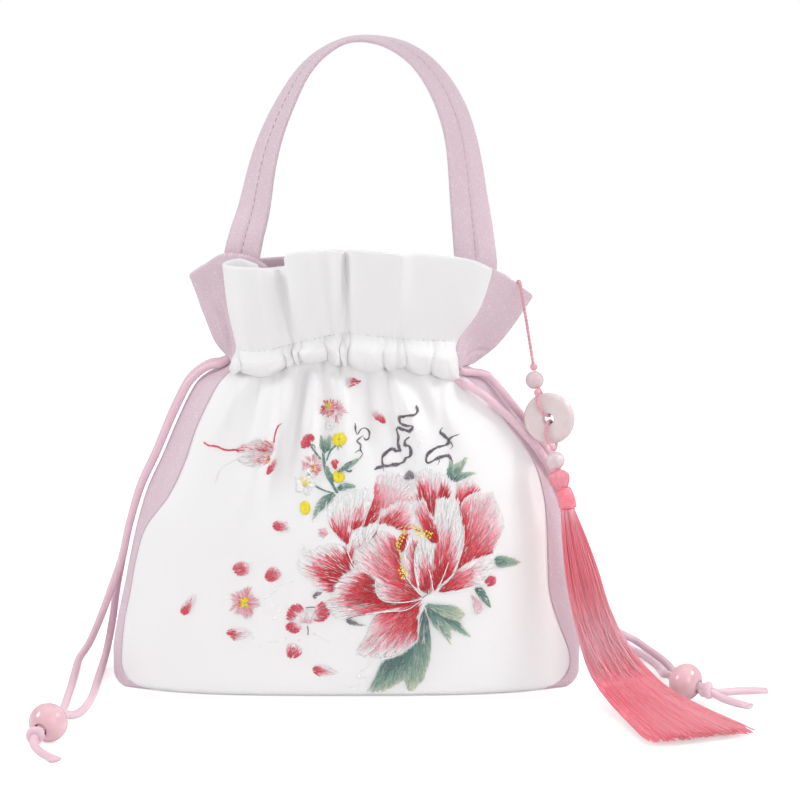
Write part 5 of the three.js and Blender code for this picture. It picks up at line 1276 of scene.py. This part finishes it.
    def knots(self, drawing, places, size, colours, lift):
        """Two short stitches crossed at each place."""
        middle = on_cloth(places, drawing)
        for _ in range(2):
            angle = self.random.uniform(0, math.pi, len(middle))
            way = np.stack([np.cos(angle), np.sin(angle)], 1) * size / 2
            self.add(middle - way, middle + way, size * 0.75, ramp(colours, self.random.random(len(middle))), lift)


def stitch_tree():
    """A slim spindle of thread laid at every point, along its own reach and facing."""
    tree, given, out = geometry_tree("Embroidery stitches", [
        ("Stitch height", "NodeSocketFloat", 0.00026), ("Spindle sides", "NodeSocketInt", 4)])
    spindle = node(tree, "GeometryNodeMeshUVSphere", {
        "Segments": given["Spindle sides"], "Rings": 3, "Radius": 0.5})["Mesh"]
    spindle = node(tree, "GeometryNodeSetShadeSmooth", {"Geometry": spindle})["Geometry"]

    def read(name, kind):
        return node(tree, "GeometryNodeInputNamedAttribute", {"Name": name}, data_type=kind)["Attribute"]

    reach = read("reach", "FLOAT_VECTOR")
    along = node(tree, "FunctionNodeAlignRotationToVector", {"Vector": reach}, axis="Z")["Rotation"]
    facing = node(tree, "FunctionNodeAlignRotationToVector", {
        "Rotation": along, "Vector": read("facing", "FLOAT_VECTOR")}, axis="X", pivot_axis="Z")["Rotation"]
    length = node(tree, "ShaderNodeVectorMath", {0: reach}, operation="LENGTH")["Value"]
    size = node(tree, "ShaderNodeCombineXYZ", {
        "X": given["Stitch height"], "Y": read("width", "FLOAT"), "Z": length})["Vector"]
    copies = node(tree, "GeometryNodeInstanceOnPoints", {
        "Points": given["Geometry"], "Instance": spindle, "Rotation": facing, "Scale": size})["Instances"]
    finish_tree(tree, given, out, copies)
    return tree


def surface_at(places, lift):
    """Points and outward directions on the front panel from across and up."""
    x, z = places[:, 0], np.maximum(places[:, 1], 2.5)
    step = 0.3
    y = front_y(x, z)
    slope_x = (front_y(x + step, z) - front_y(x - step, z)) / (2 * step)
    slope_z = (front_y(x, z + step) - front_y(x, z - step)) / (2 * step)
    facing = unit(np.stack([slope_x, -np.ones_like(y), slope_z], 1))
    return np.stack([x, y, z], 1) + facing * np.reshape(lift, (-1, 1)), facing


def spindle_piece(name, first, last, facing, width, colour, material):
    """One mesh of stitches from their ends, outward directions, widths and colours."""
    mesh = bpy.data.meshes.new(name)
    count = len(first)
    mesh.vertices.add(count)
    mesh.vertices.foreach_set("co", ((first + last) / 2 * MM).ravel())
    colour = np.concatenate([np.broadcast_to(colour, (count, 3)), np.ones((count, 1))], 1)
    for label, kind, key, values in (
            ("reach", "FLOAT_VECTOR", "vector", (last - first) * MM), ("facing", "FLOAT_VECTOR", "vector", facing),
            ("width", "FLOAT", "value", np.broadcast_to(width, count) * MM),
            ("thread_colour", "FLOAT_COLOR", "color", colour)):
        mesh.attributes.new(label, kind, "POINT").data.foreach_set(key, values.astype(np.float32).ravel())
    return modifier_mesh(new_object(name, mesh), STITCH, {}, material)


def embroidery_piece(name, rows, material):
    """Stitches laid on the front panel, raised where the cloth between their ends stands out."""
    rows = np.concatenate(rows)
    start, end, width, colour, lift = rows[:, :2], rows[:, 2:4], rows[:, 4], rows[:, 5:8], rows[:, 8]
    first, _ = surface_at(start, lift)
    last, _ = surface_at(end, lift)
    middle, facing = surface_at((start + end) / 2, lift)
    sunk = np.maximum(0, ((middle - (first + last) / 2) * facing).sum(1))[:, None] * facing
    return spindle_piece(name, first + sunk, last + sunk, facing, width, colour, material)


def seam_stitches(name, lines, facings, length, gap, width, colour, material):
    """Rows of machine stitches along lines on cloth, each with its outward directions."""
    firsts, lasts, outs = [], [], []
    for line, facing in zip(lines, facings):
        along = run_along(line)
        at = np.arange(gap, along[-1] - length - gap, length + gap)
        firsts.append(read_along(line, along, at))
        lasts.append(read_along(line, along, at + length))
        outs.append(read_along(facing, along, at + length / 2))
    outs = unit(np.concatenate(outs))
    return spindle_piece(name, np.concatenate(firsts), np.concatenate(lasts), outs, width, colour, material)


def embroidery_material():
    """Silk thread whose colour is the stitch's own."""
    material, tree, shader = plain_material("embroidery silk", (0.8, 0.2, 0.25), 0.34,
                                            Sheen_Weight=0.5, Sheen_Roughness=0.3)
    feed(tree, shader["Base Color"], node(tree, "ShaderNodeAttribute", attribute_name="thread_colour")["Color"])
    return material


flower, motifs = Stitches(11), Stitches(12)
for order, (drawing, outline, root, colours, deep, pale) in enumerate(PATCHES):
    on_flower = drawing in (FLOWER, LOWER_LEAVES)
    kit = flower if on_flower else motifs
    kit.patch(drawing, outline, root, colours, deep, pale, 0.10 + (0.02 if on_flower else 0.005) * order)
for drawing, points, colours, width in LINES:
    sew = motifs.tendril if drawing == TENDRILS else motifs.line
    sew(drawing, points, colours, width, 0.72 if drawing in (FLOWER, LOWER_LEAVES) else 0.2)
for order, (drawing, centre, inner, outer, count, colours) in enumerate(BURSTS):
    motifs.burst(drawing, centre, inner, outer, count, colours, 0.2 + 0.015 * order)
for drawing, places, size, colours in KNOTS:
    motifs.knots(drawing, places, size, colours, 0.85 if drawing == FLOWER else 0.25)

STITCH = stitch_tree()
embroidery_silk = embroidery_material()
for name, stitches in (("embroidered_flower", flower), ("embroidered_sprigs", motifs)):
    finish_piece(embroidery_piece(name, stitches.rows, embroidery_silk), "embroidery_silk", "front_panel")


# ---- Pink side strip
def half_width(sign, z):
    return float(section_at("left" if sign < 0 else "right", z)) * HALF_WIDTH


def gusset_grid():
    """Strip down the left side, under the base and up the right side."""
    shares = np.concatenate([np.linspace(0, 0.1, 8), np.linspace(0.1, 0.9, 25)[1:-1], np.linspace(0.9, 1, 8)])
    to_middle = np.where(shares < 0.5, shares * 2, (1 - shares) * 2)
    rows = []

    def add_row(sign, seam_x, seam_z, middle_x, middle_z):
        held = max(seam_z, BASE_ROUND)
        half = half_width(sign, held)
        depth = float(section_at("depth", held)) * HALF_DEPTH
        square = float(section_at("square", held))
        seam_depth = float(body_depth(seam_x, seam_z))
        angle0 = math.asin(min(1, (seam_depth / depth) ** (square / 2)))
        reach = abs(math.cos(angle0) ** (2 / square) * half - half)
        angle = angle0 * (1 - to_middle)
        bulge = (np.cos(angle) ** (2 / square) * half - (half - reach)) / reach if reach > 0.01 else to_middle
        y = seam_depth * (np.sin(angle) / math.sin(angle0)) ** (2 / square)
        sink = np.maximum(0, 1 - to_middle / BASE_EDGE_SHARE)
        rows.append(np.stack([lerp(seam_x, middle_x, bulge), np.where(shares < 0.5, -y, y),
                              middle_z + (seam_z - middle_z) * sink ** 2], 1))

    foot_left, foot_right = (float(v) for v in seams_at(PANEL_FOOT))

    def side_row(sign, z):
        left, right = seams_at(z)
        add_row(sign, float(left if sign < 0 else right), z, sign * half_width(sign, z), z)

    def corner_row(sign, share):
        z = PANEL_FOOT + PANEL_CORNER * (1 - math.sin(share * math.pi / 2))
        left, right = seams_at(z)
        half = half_width(sign, BASE_ROUND)
        flat_run = half - BASE_ROUND - (-foot_left if sign < 0 else foot_right)
        wall_run = PANEL_FOOT + PANEL_CORNER - BASE_ROUND
        round_run = BASE_ROUND * math.pi / 2
        run = share * (wall_run + round_run + flat_run)
        middle_x, middle_z = half, PANEL_FOOT + PANEL_CORNER - run
        if run > wall_run + round_run:
            middle_x, middle_z = half - BASE_ROUND - (run - wall_run - round_run), 0
        elif run > wall_run:
            roll = (run - wall_run) / BASE_ROUND
            middle_x = half - BASE_ROUND * (1 - math.cos(roll))
            middle_z = BASE_ROUND * (1 - math.sin(roll))
        add_row(sign, float(left if sign < 0 else right), z, sign * middle_x, middle_z)

    heights = np.linspace(0.99 * BODY_HEIGHT, PANEL_FOOT + PANEL_CORNER, 68)[:-1]
    for z in heights:
        side_row(-1, z)
    for share in np.linspace(0, 1, 16):
        corner_row(-1, share)
    for x in np.linspace(foot_left, foot_right, 52)[1:-1]:
        add_row(-1 if x < 0 else 1, x, PANEL_FOOT, x, 0)
        rows[-1][:, 1] *= 1 - 1.4 * foot_drop(x) / HALF_DEPTH
    for share in np.linspace(1, 0, 16):
        corner_row(1, share)
    for z in heights[::-1]:
        side_row(1, z)
    return np.array(rows)


gusset = sheet_shape(gusset_grid(), CLOTH, 0).make("pink_gusset", pink_satin)
fix_outward(gusset)
finish_cloth(gusset, "pink_satin", "gusset")


# ---- Gathered top
# Sizes in millimetres; the stitch line is halfway up the guides, and the drawn-up band is below it.
STITCH_LEVEL = 0.5
STITCH_DEPTH = 0.45
LUMP_HEIGHT = 2.0
CREASE_DEPTH = 1.1
TUCK_DEPTH = 4.6


def loft_grid(guides, columns, levels):
    """Smooth grid through guides, each a list of points that goes up."""
    across = line_at(guides, np.linspace(0, 1, columns + 1))
    return np.stack([line_at(guide, levels) for guide in across], 1)


def frill_guides(pleats, side):
    """Guides from the low edge over the tunnel and the stitch line to the flared top."""
    scale = np.array([CASING_HALF_WIDTH, side * CASING_DEPTH, FRILL_TOP])
    guides = []
    for low, stitch, top, puff in pleats:
        low, stitch, top = (np.array(point) * scale for point in (low, stitch, top))
        middle = (low + stitch) / 2 + np.array([0, side * PUFF * puff, 0])
        flare = lerp(stitch, top, np.array([0.62, 0.62, 0.45]))
        guides.append([low, middle, stitch, flare, top])
    return guides


def gather(grid, creases, side, seed):
    """Puff the drawn-up band between its creases and pinch it along its stitch line."""
    random = np.random.default_rng(seed)
    level = FRILL_LEVELS[:, None]
    band = np.clip(level / STITCH_LEVEL, 0, 1)
    x = grid[..., 0] + 0.7 * np.sin(5 * band + grid[..., 0] * 0.35)
    place = np.clip(np.searchsorted(creases, x) - 1, 0, len(creases) - 2)
    start, end = creases[place], creases[place + 1]
    share = np.clip((x - start) / (end - start), 0, 1)
    lump = np.sin(math.pi * share) ** 0.42
    full = np.sin(math.pi * np.clip(0.06 + 0.94 * band, 0, 1)) ** 0.6
    below = level <= STITCH_LEVEL
    fine = sum(random.uniform(0.5, 1.0) * np.sin(x * pitch + random.uniform(0, 6) + 2.2 * band)
               for pitch in (0.9, 1.35, 2.1, 2.9)) / 4
    tuck = np.clip(1 - band / 0.3, 0, 1) ** 2
    out = np.where(below, (0.3 + LUMP_HEIGHT * lump) * full - CREASE_DEPTH * (1 - lump) - TUCK_DEPTH * tuck, 0)
    out = out + 0.55 * fine * np.exp(-((band - 0.12) / 0.3) ** 2) * below
    near = np.exp(-((level - STITCH_LEVEL) / np.where(below, 0.07, 0.085)) ** 2)
    out = out + near * (0.42 * fine - STITCH_DEPTH)
    across = np.linspace(0, 1, grid.shape[1])[None]
    out = out * (0.15 + 0.85 * smooth(np.minimum(across, 1 - across) / 0.03))
    grid = grid.copy()
    grid[..., 1] += side * out
    grid[..., 2] += np.where(below, (0.5 - 2.3 * lump) * (1 - band) ** 2 - 0.4 * tuck, 0)
    return grid


FRILL_LEVELS = np.concatenate([
    np.linspace(0, 0.5, 33), np.linspace(0.5, 0.66, 13)[1:], np.linspace(0.66, 1, 17)[1:]])
FRONT_CREASES = np.array([-51.5, -46.0, -26.4, -22.6, -19.6, -8.3, -1.7, 1.6, 17.2, 26.2, 38.0, 51.5])
BACK_CREASES = np.array([-51.5, -38.0, -27.0, -15.0, -9.0, 3.0, 16.0, 22.0, 34.0, 51.5])
front_grid = gather(loft_grid(frill_guides(FRONT_PLEATS, -1), 316, FRILL_LEVELS), FRONT_CREASES, -1, 21)
front_frill = sheet_shape(front_grid, FRILL_CLOTH).make("front_gathers", white_satin)
finish_cloth(front_frill, "white_satin", "front_frill")
back_grid = gather(loft_grid(frill_guides(BACK_PLEATS, 1), 220, FRILL_LEVELS), BACK_CREASES, 1, 22)
back_frill = sheet_shape(back_grid, FRILL_CLOTH).make("back_gathers", white_satin)
finish_cloth(back_frill, "white_satin", "back_frill")

stitch_row = int(np.argmin(np.abs(FRILL_LEVELS - 0.505)))
frill_seam = seam_stitches(
    "frill_stitching", [grid[stitch_row] for grid in (front_grid, back_grid)],
    [grid_normals(grid)[stitch_row] for grid in (front_grid, back_grid)],
    1.5, 0.8, THIN_STITCH, tone(196, 194, 198), embroidery_silk)
finish_piece(frill_seam, "embroidery_silk", "front_frill", "back_frill")

wing_scale = np.array([CASING_HALF_WIDTH, CASING_DEPTH, FRILL_TOP])
WING_LEVELS = np.linspace(0, 1, 54)


def crease(grid, low, high, rise, wide):
    """A sharp fold across a wing between two places (share round, share up), raised or sunk."""
    around = np.linspace(0, 1, grid.shape[1])[None]
    up = WING_LEVELS[:, None]
    share = np.clip((up - low[1]) / (high[1] - low[1]), -0.3, 1.3)
    middle = lerp(low[0], high[0], share)
    fade = smooth((share + 0.3) / 0.3) * smooth((1.3 - share) / 0.3)
    lift = rise * fade * np.exp(-np.sqrt((around - middle) ** 2 + 0.0002) / wide)
    return grid + grid_normals(grid) * lift[..., None]


# Guides of each wing and its creases: low place, high place, rise and width.
WINGS = {
    "left_wing": (LEFT_WING[::-1], [
        ((0.74, 0.15), (0.56, 0.66), 1.9, 0.07),
        ((0.86, 0.12), (0.70, 0.60), -1.6, 0.06)]),
    "right_wing": (RIGHT_WING, [
        ((0.05, 0.05), (0.40, 0.24), -1.5, 0.035),
        ((0.10, 0.20), (0.34, 0.85), 1.0, 0.06)]),
}
for name, (guides, creases) in WINGS.items():
    wing_grid = loft_grid([np.array(row) * wing_scale for row in guides], 90, WING_LEVELS)
    for low, high, rise, wide in creases:
        wing_grid = crease(wing_grid, low, high, rise, wide)
    wing = sheet_shape(wing_grid, CLOTH).make(name + "_cloth", pink_satin)
    finish_cloth(wing, "pink_satin", name)


# ---- Handle
STRAP_COLUMNS = 26
STRAP_EDGE = 5


def handle_rings(steps):
    """Rings round the strap: a groove along the middle of each face and soft edges."""
    rows = line_at(HANDLE_LINE, np.linspace(0, 1, steps))
    line, turn = rows[:, :3], np.radians(rows[:, 3])
    ways, _, _ = frames_along(line, (0, 1, 0))
    outward = unit(-np.cross(ways, (0.0, -1.0, 0.0)))
    wide = np.array([0.0, 1.0, 0.0]) * np.cos(turn)[:, None] + outward * np.sin(turn)[:, None]
    wide = unit(wide - ways * (wide * ways).sum(1, keepdims=True))
    thick = unit(np.cross(ways, wide))
    half, cloth = STRAP_WIDTH / 2, STRAP_CLOTH / 2
    a = np.linspace(-1, 1, STRAP_COLUMNS)
    swell = cloth * (0.92 - 0.42 * np.exp(-(a / 0.07) ** 2) - 0.2 * np.abs(a) ** 6)
    edge = np.linspace(0, math.pi, STRAP_EDGE + 2)[1:-1]
    end = half + np.sin(edge) * cloth * 0.5
    across = np.concatenate([a * half, end, a[::-1] * half, -end])
    out = np.concatenate([-swell, -np.cos(edge) * swell[-1], swell, np.cos(edge) * swell[-1]])
    return line[:, None] + wide[:, None] * across[None, :, None] + thick[:, None] * out[None, :, None]


strap = handle_rings(210)
handle = ring_shape(strap).make("handle_strap", pink_satin)
fix_outward(handle)
finish_cloth(handle, "pink_satin", "handle")
face_middle = STRAP_COLUMNS // 2 - 1
strap_faces = [strap[:, at:at + 2].mean(1) for at in (face_middle, face_middle + STRAP_COLUMNS + STRAP_EDGE)]
strap_out = [unit(face - strap.mean(1)) for face in strap_faces]
handle_seam = seam_stitches(
    "handle_stitching", [face + 0.12 * out for face, out in zip(strap_faces, strap_out)], strap_out,
    2.2, 1.1, STITCH_WIDTH, tone(206, 172, 188), embroidery_silk)
finish_piece(handle_seam, "embroidery_silk", "handle")


# ---- Pendant
TWIST_STEP = 0.35
TWIST_RADIUS = 0.36
TWIST_STRAND = 0.42
TWIST_PITCH = 3.4


def twisted_rings(shape, points):
    """Two strands twisted round a line."""
    line = even_line(points, TWIST_STEP)
    _, crosses, seconds = frames_along(line, (1.0, 0.0, 0.0))
    for start in (0, math.pi):
        turn = (2 * math.pi * np.arange(len(line)) * TWIST_STEP / TWIST_PITCH + start)[:, None]
        path = line + TWIST_RADIUS * (crosses * np.cos(turn) + seconds * np.sin(turn))
        ring_shape(tube_rings(path, TWIST_STRAND, 10), shape)


def ball_rings(at, radius):
    """Rings of a small round knot, from its top to its foot."""
    angle, turn = np.linspace(0, math.pi, 11)[1:-1, None], ring_angles(14)[None]
    return np.array(at) + radius * np.stack(np.broadcast_arrays(
        np.sin(angle) * np.cos(turn), np.sin(angle) * np.sin(turn), np.cos(angle)), -1)


upper_thread = Shape()
twisted_rings(upper_thread, PENDANT_LINE)
ring_shape(ball_rings(PENDANT_LINE[-1], 1.7), upper_thread)
upper_thread = upper_thread.make("pendant_thread_above", pink_thread)
finish_piece(upper_thread, "pink_thread", "pendant_upper_thread")
for level, at, way in (("upper", UPPER_BEAD_AT, (-0.3, 0.2, 1)), ("lower", LOWER_BEAD_AT, LOWER_BEAD_WAY)):
    bead = bead_piece(level + "_pendant_bead", at, way, SMALL_BEAD_RADIUS, SMALL_BEAD_HOLE, 1.0, rose_quartz)
    finish_piece(bead, "rose_quartz", level + "_bead")


DISC_AHEAD = np.array([math.sin(DISC_TURN), -math.cos(DISC_TURN), 0.0])
DISC_SIDE = np.array([math.cos(DISC_TURN), math.sin(DISC_TURN), 0.0])
DISC_UP = np.array([0.0, 0.0, 1.0])


def disc_piece():
    """Jade disc with a round rim, domed faces and a rounded hole."""
    half = DISC_THICKNESS / 2
    edge = np.linspace(0, math.pi, 17)
    outer = np.stack([DISC_RADIUS - half * 0.8 + np.sin(edge) * half * 0.8, -np.cos(edge) * half * 0.8], 1)
    lip = np.linspace(0, math.pi, 11)
    inner = np.stack([DISC_HOLE + 0.8 - np.sin(lip) * 0.8, np.cos(lip) * (half - 0.15)], 1)
    face = np.stack([lerp(outer[-1, 0], inner[0, 0], np.linspace(0, 1, 9)[1:-1]),
                     lerp(outer[-1, 1], inner[0, 1], np.linspace(0, 1, 9)[1:-1] ** 0.6)], 1)
    profile = np.concatenate([outer, face, inner, face[::-1] * (1, -1)])
    return turned_piece("jade_ring", profile, DISC_AT, DISC_AHEAD, DISC_SIDE, DISC_UP, 72, white_jade)


jade_disc = disc_piece()
finish_piece(jade_disc, "white_jade", "jade_disc")


def on_disc(across, up, ahead):
    """A place from the middle of the disc's hole: across and up in its plane, and ahead of it."""
    return np.array(DISC_AT) + across * DISC_SIDE + up * DISC_UP + ahead * DISC_AHEAD


# Each loop runs from its knot down or up the front of the disc, through the hole and back behind it.
UPPER_LOOP = [
    (-4.4, 12.0, 4.2), (-4.7, 9.0, 3.9), (-3.9, 5.4, 3.6), (-1.9, 2.5, 3.3), (0.0, 1.1, 0.0),
    (-1.2, 2.8, -3.3), (-3.0, 6.2, -3.6), (-4.3, 9.8, -3.4), (-4.8, 12.6, -0.6), (-4.6, 12.6, 2.8),
]
LOWER_LOOP = [
    (3.3, -12.0, 5.0), (1.6, -10.9, 4.5), (-0.2, -8.6, 3.9), (-0.7, -5.4, 3.6), (-0.3, -2.4, 3.3), (0.2, -1.1, 0.0),
    (0.6, -2.8, -3.3), (1.6, -6.2, -3.6), (2.6, -9.8, -3.4), (3.2, -12.4, -0.4), (3.3, -12.6, 3.2),
]
lower_thread = Shape()
for loop in (UPPER_LOOP, LOWER_LOOP):
    twisted_rings(lower_thread, [on_disc(*place) for place in loop])
    ring_shape(ball_rings(on_disc(*loop[0]), 1.6), lower_thread)
lower_thread = lower_thread.make("pendant_thread_below", pink_thread)
finish_piece(lower_thread, "pink_thread", "pendant_lower_thread")


# ---- Tassel
SKIRT_LOCKS = 60


def skirt_lines(count, steps, seed):
    """Threads of the skirt between its left and right edges, drawn together in locks, and their tones with a
    painted highlight.
    """
    random = np.random.default_rng(seed)
    share = np.linspace(0, 1, steps)
    left, right = line_at(SKIRT_LEFT, share), line_at(SKIRT_RIGHT, share)
    lock = random.integers(0, SKIRT_LOCKS, count)
    lock_place = (np.arange(SKIRT_LOCKS) + random.uniform(0.1, 0.9, SKIRT_LOCKS)) / SKIRT_LOCKS
    even = random.random(count)
    held = np.clip(lock_place[lock] + random.normal(0, 0.011, count), 0, 1)
    place = lerp(even[:, None], held[:, None], 0.6 * smooth((share - 0.25) * 2.0)[None])
    gather = lerp(0.5, place, 0.8 + 0.2 * smooth(share * 3)[None])[..., None]
    lock_layer = random.uniform(-1, 1, SKIRT_LOCKS)
    layer = np.clip(0.75 * lock_layer[lock] + 0.35 * random.uniform(-1, 1, count), -1, 1)[:, None]
    cut = 0.978 + 0.016 * random.normal(0, 1, SKIRT_LOCKS)[lock]
    reach = np.clip(cut + random.normal(0, 0.012, count), 0.9, 1.02)[:, None]
    lines = left[None] * (1 - gather) + right[None] * gather
    round_off = np.sqrt(np.maximum(0.02, 1 - (2 * gather[..., 0] - 1) ** 2))
    depth = 4.2 * round_off * (1 - 0.7 * smooth((share - 0.55) * 3))[None]
    lines[..., 1] += layer * depth * (1 - smooth((share - 0.55) * 4))[None]
    lines[..., 2] += (layer + 1) * 0.5 * depth * smooth((share - 0.5) * 3)[None]
    waves = random.uniform(0, 2 * math.pi, (2, SKIRT_LOCKS))[:, lock, None] + random.normal(0, 0.35, (2, count, 1))
    lines[..., 0] += 0.55 * np.sin(share[None] * 6 + waves[0]) * share[None]
    lines[..., 1] += 0.6 * np.sin(share[None] * 5 + waves[1]) * share[None]
    stray = random.random(count) < 0.012
    lines[stray, :, 0] += random.normal(0, 3.0, (stray.sum(), 1)) * share[None] ** 3
    lines[..., 2] = np.maximum(lines[..., 2], 0.35)
    index = share[None] * reach * (steps - 1)
    low = np.minimum(steps - 2, index.astype(int))
    part = (index - low)[..., None]
    rows = np.arange(count)[:, None]
    # Painted highlight: the threads are lighter just under the wrap and in a band halfway down the skirt, where
    # light falls on them; the rest of the tone differs at random from thread to thread.
    painted_highlight = (np.exp(-((share - 0.5) / 0.15) ** 2) + 0.8 * np.exp(-(share / 0.05) ** 2))[None]
    tone_and_highlight = np.clip(-0.04 + 0.55 * painted_highlight + 0.42 * random.random(count)[:, None], 0, 1)
    return lines[rows, low] * (1 - part) + lines[rows, low + 1] * part, tone_and_highlight


def thread_piece(name, lines, tones, radius, sides):
    """Silk threads of a radius in metres along lines."""
    sizes = {"Thread radius": radius, "Sides": sides}
    threads = modifier_mesh(lines_object(name, lines, tones), THREADS, sizes, tassel_silk)
    finish_piece(threads, "tassel_silk", "tassel")


for name, seed in (("tassel_skirt", 3), ("tassel_skirt_inner", 4)):
    thread_piece(name, *skirt_lines(1340, 16, seed), 0.00022, 3)

tone_random = np.random.default_rng(7)
head_line = [
    np.array(LOWER_BEAD_AT) - np.array(LOWER_BEAD_WAY) * (SMALL_BEAD_RADIUS + 0.4), TASSEL_HEAD_AT,
    (95.4, -29.6, 93.4), TASSEL_WRAP_AT, (97.5, -31.4, 84.0),
]


def head_lines(count, seed):
    """Looped threads of the head, from the bead over the swell into the wrap."""
    random = np.random.default_rng(seed)
    share = np.linspace(0, 0.62, 14)
    line = line_at(head_line, share)
    _, crosses, seconds = frames_along(line, (1.0, 0.0, 0.0))
    swell = np.sin(math.pi * np.clip(share / 0.52, 0, 1)) ** 0.8
    radius = np.where(share < 0.52, 1.0 + 3.4 * swell, 2.6)
    turn = random.uniform(0, 2 * math.pi, count)[:, None] + 0.5 * share[None] * random.normal(0, 1, count)[:, None]
    turn = turn[..., None]
    reach = (radius[None] * random.uniform(0.88, 1.0, count)[:, None])[..., None]
    return line[None] + reach * (crosses[None] * np.cos(turn) + seconds[None] * np.sin(turn))


thread_piece("tassel_head", head_lines(220, 5), 0.2 + 0.45 * tone_random.random(220), 0.00026, 4)


WRAP_TURNS = 24
WRAP_POINTS = WRAP_TURNS * 20


def wrap_lines():
    """Thread wound round the neck of the tassel."""
    share = np.linspace(0, 1, WRAP_POINTS)
    line = line_at(head_line, 0.52 + 0.36 * share)
    _, crosses, seconds = frames_along(line, (1.0, 0.0, 0.0))
    angle = (2 * math.pi * WRAP_TURNS * share)[:, None]
    radius = (3.35 + 0.4 * share)[:, None]
    return (line + radius * (crosses * np.cos(angle) + seconds * np.sin(angle)))[None]


wrap_tones = np.clip(0.26 + 0.10 * tone_random.normal(0, 1, (1, WRAP_POINTS)), 0, 1)
thread_piece("tassel_wrap", wrap_lines(), wrap_tones, 0.00021, 6)
core_line = even_line(head_line, 0.5)
core_share = np.linspace(0, 1, len(core_line))[:, None]
core_swell = 0.6 + 3.1 * np.sin(math.pi * np.clip(core_share / 0.45, 0, 1)) ** 0.8
core_radius = np.where(core_share < 0.45, core_swell, 3.1)
core = ring_shape(tube_rings(core_line, core_radius, 18, (1.0, 0.0, 0.0))).make("tassel_core", tassel_silk)
finish_piece(core, "tassel_silk", "tassel")


# ---- Floor and light
def stage_floor():
    """Pale floor that looks white to the camera."""
    mesh = bpy.data.meshes.new("floor")
    reach, back = 3.0, 1.6
    corners = [(-reach, -reach, 0), (reach, -reach, 0), (reach, back, 0), (-reach, back, 0)]
    mesh.from_pydata(corners, [], [(0, 1, 2, 3)])
    material, tree, shader = plain_material("pale floor", (0.86, 0.86, 0.86), 0.8, Emission_Color=(1, 1, 1, 1))
    seen = node(tree, "ShaderNodeLightPath")["Is Camera Ray"]
    feed(tree, shader["Emission Strength"], maths(tree, "MULTIPLY", seen, 0.5))
    mesh.materials.append(material)
    new_object("floor", mesh)


def area_light(name, at, size, power, target=(0.0, 0.0, 0.12), spread=180):
    lamp = new_object(name, bpy.data.lights.new(name, "AREA"))
    lamp.data.shape = "RECTANGLE"
    lamp.data.size = lamp.data.size_y = size
    lamp.data.energy = power
    lamp.data.spread = math.radians(spread)
    lamp.location = at
    lamp.rotation_euler = (Vector(target) - Vector(at)).to_track_quat("-Z", "Y").to_euler()


ROOM_LIGHT = 0.58


def white_surround():
    """A white room: white behind the object, and a softer light on it."""
    world = bpy.data.worlds.new("studio")
    world.use_nodes = True
    tree = world.node_tree
    room = tree.nodes["Background"].inputs
    room["Color"].default_value = (1, 1, 1, 1)
    seen = node(tree, "ShaderNodeLightPath")["Is Camera Ray"]
    feed(tree, room["Strength"], maths(tree, "ADD", ROOM_LIGHT, maths(tree, "MULTIPLY", seen, 1 - ROOM_LIGHT)))
    bpy.context.scene.world = world


stage_floor()
# Lights: place and size in metres and power in watts. The side light is narrow and falls on the tassel.
area_light("key light", (-1.3, -0.35, 0.9), 0.5, 6.6)
area_light("fill light", (0.9, -1.45, 0.7), 0.8, 5.7)
area_light("side light", (0.8, -0.16, 0.72), 0.3, 0.13, (0.12, -0.06, 0.09), 24)
area_light("top light", (0.1, 0.2, 1.6), 1.2, 4)
white_surround()
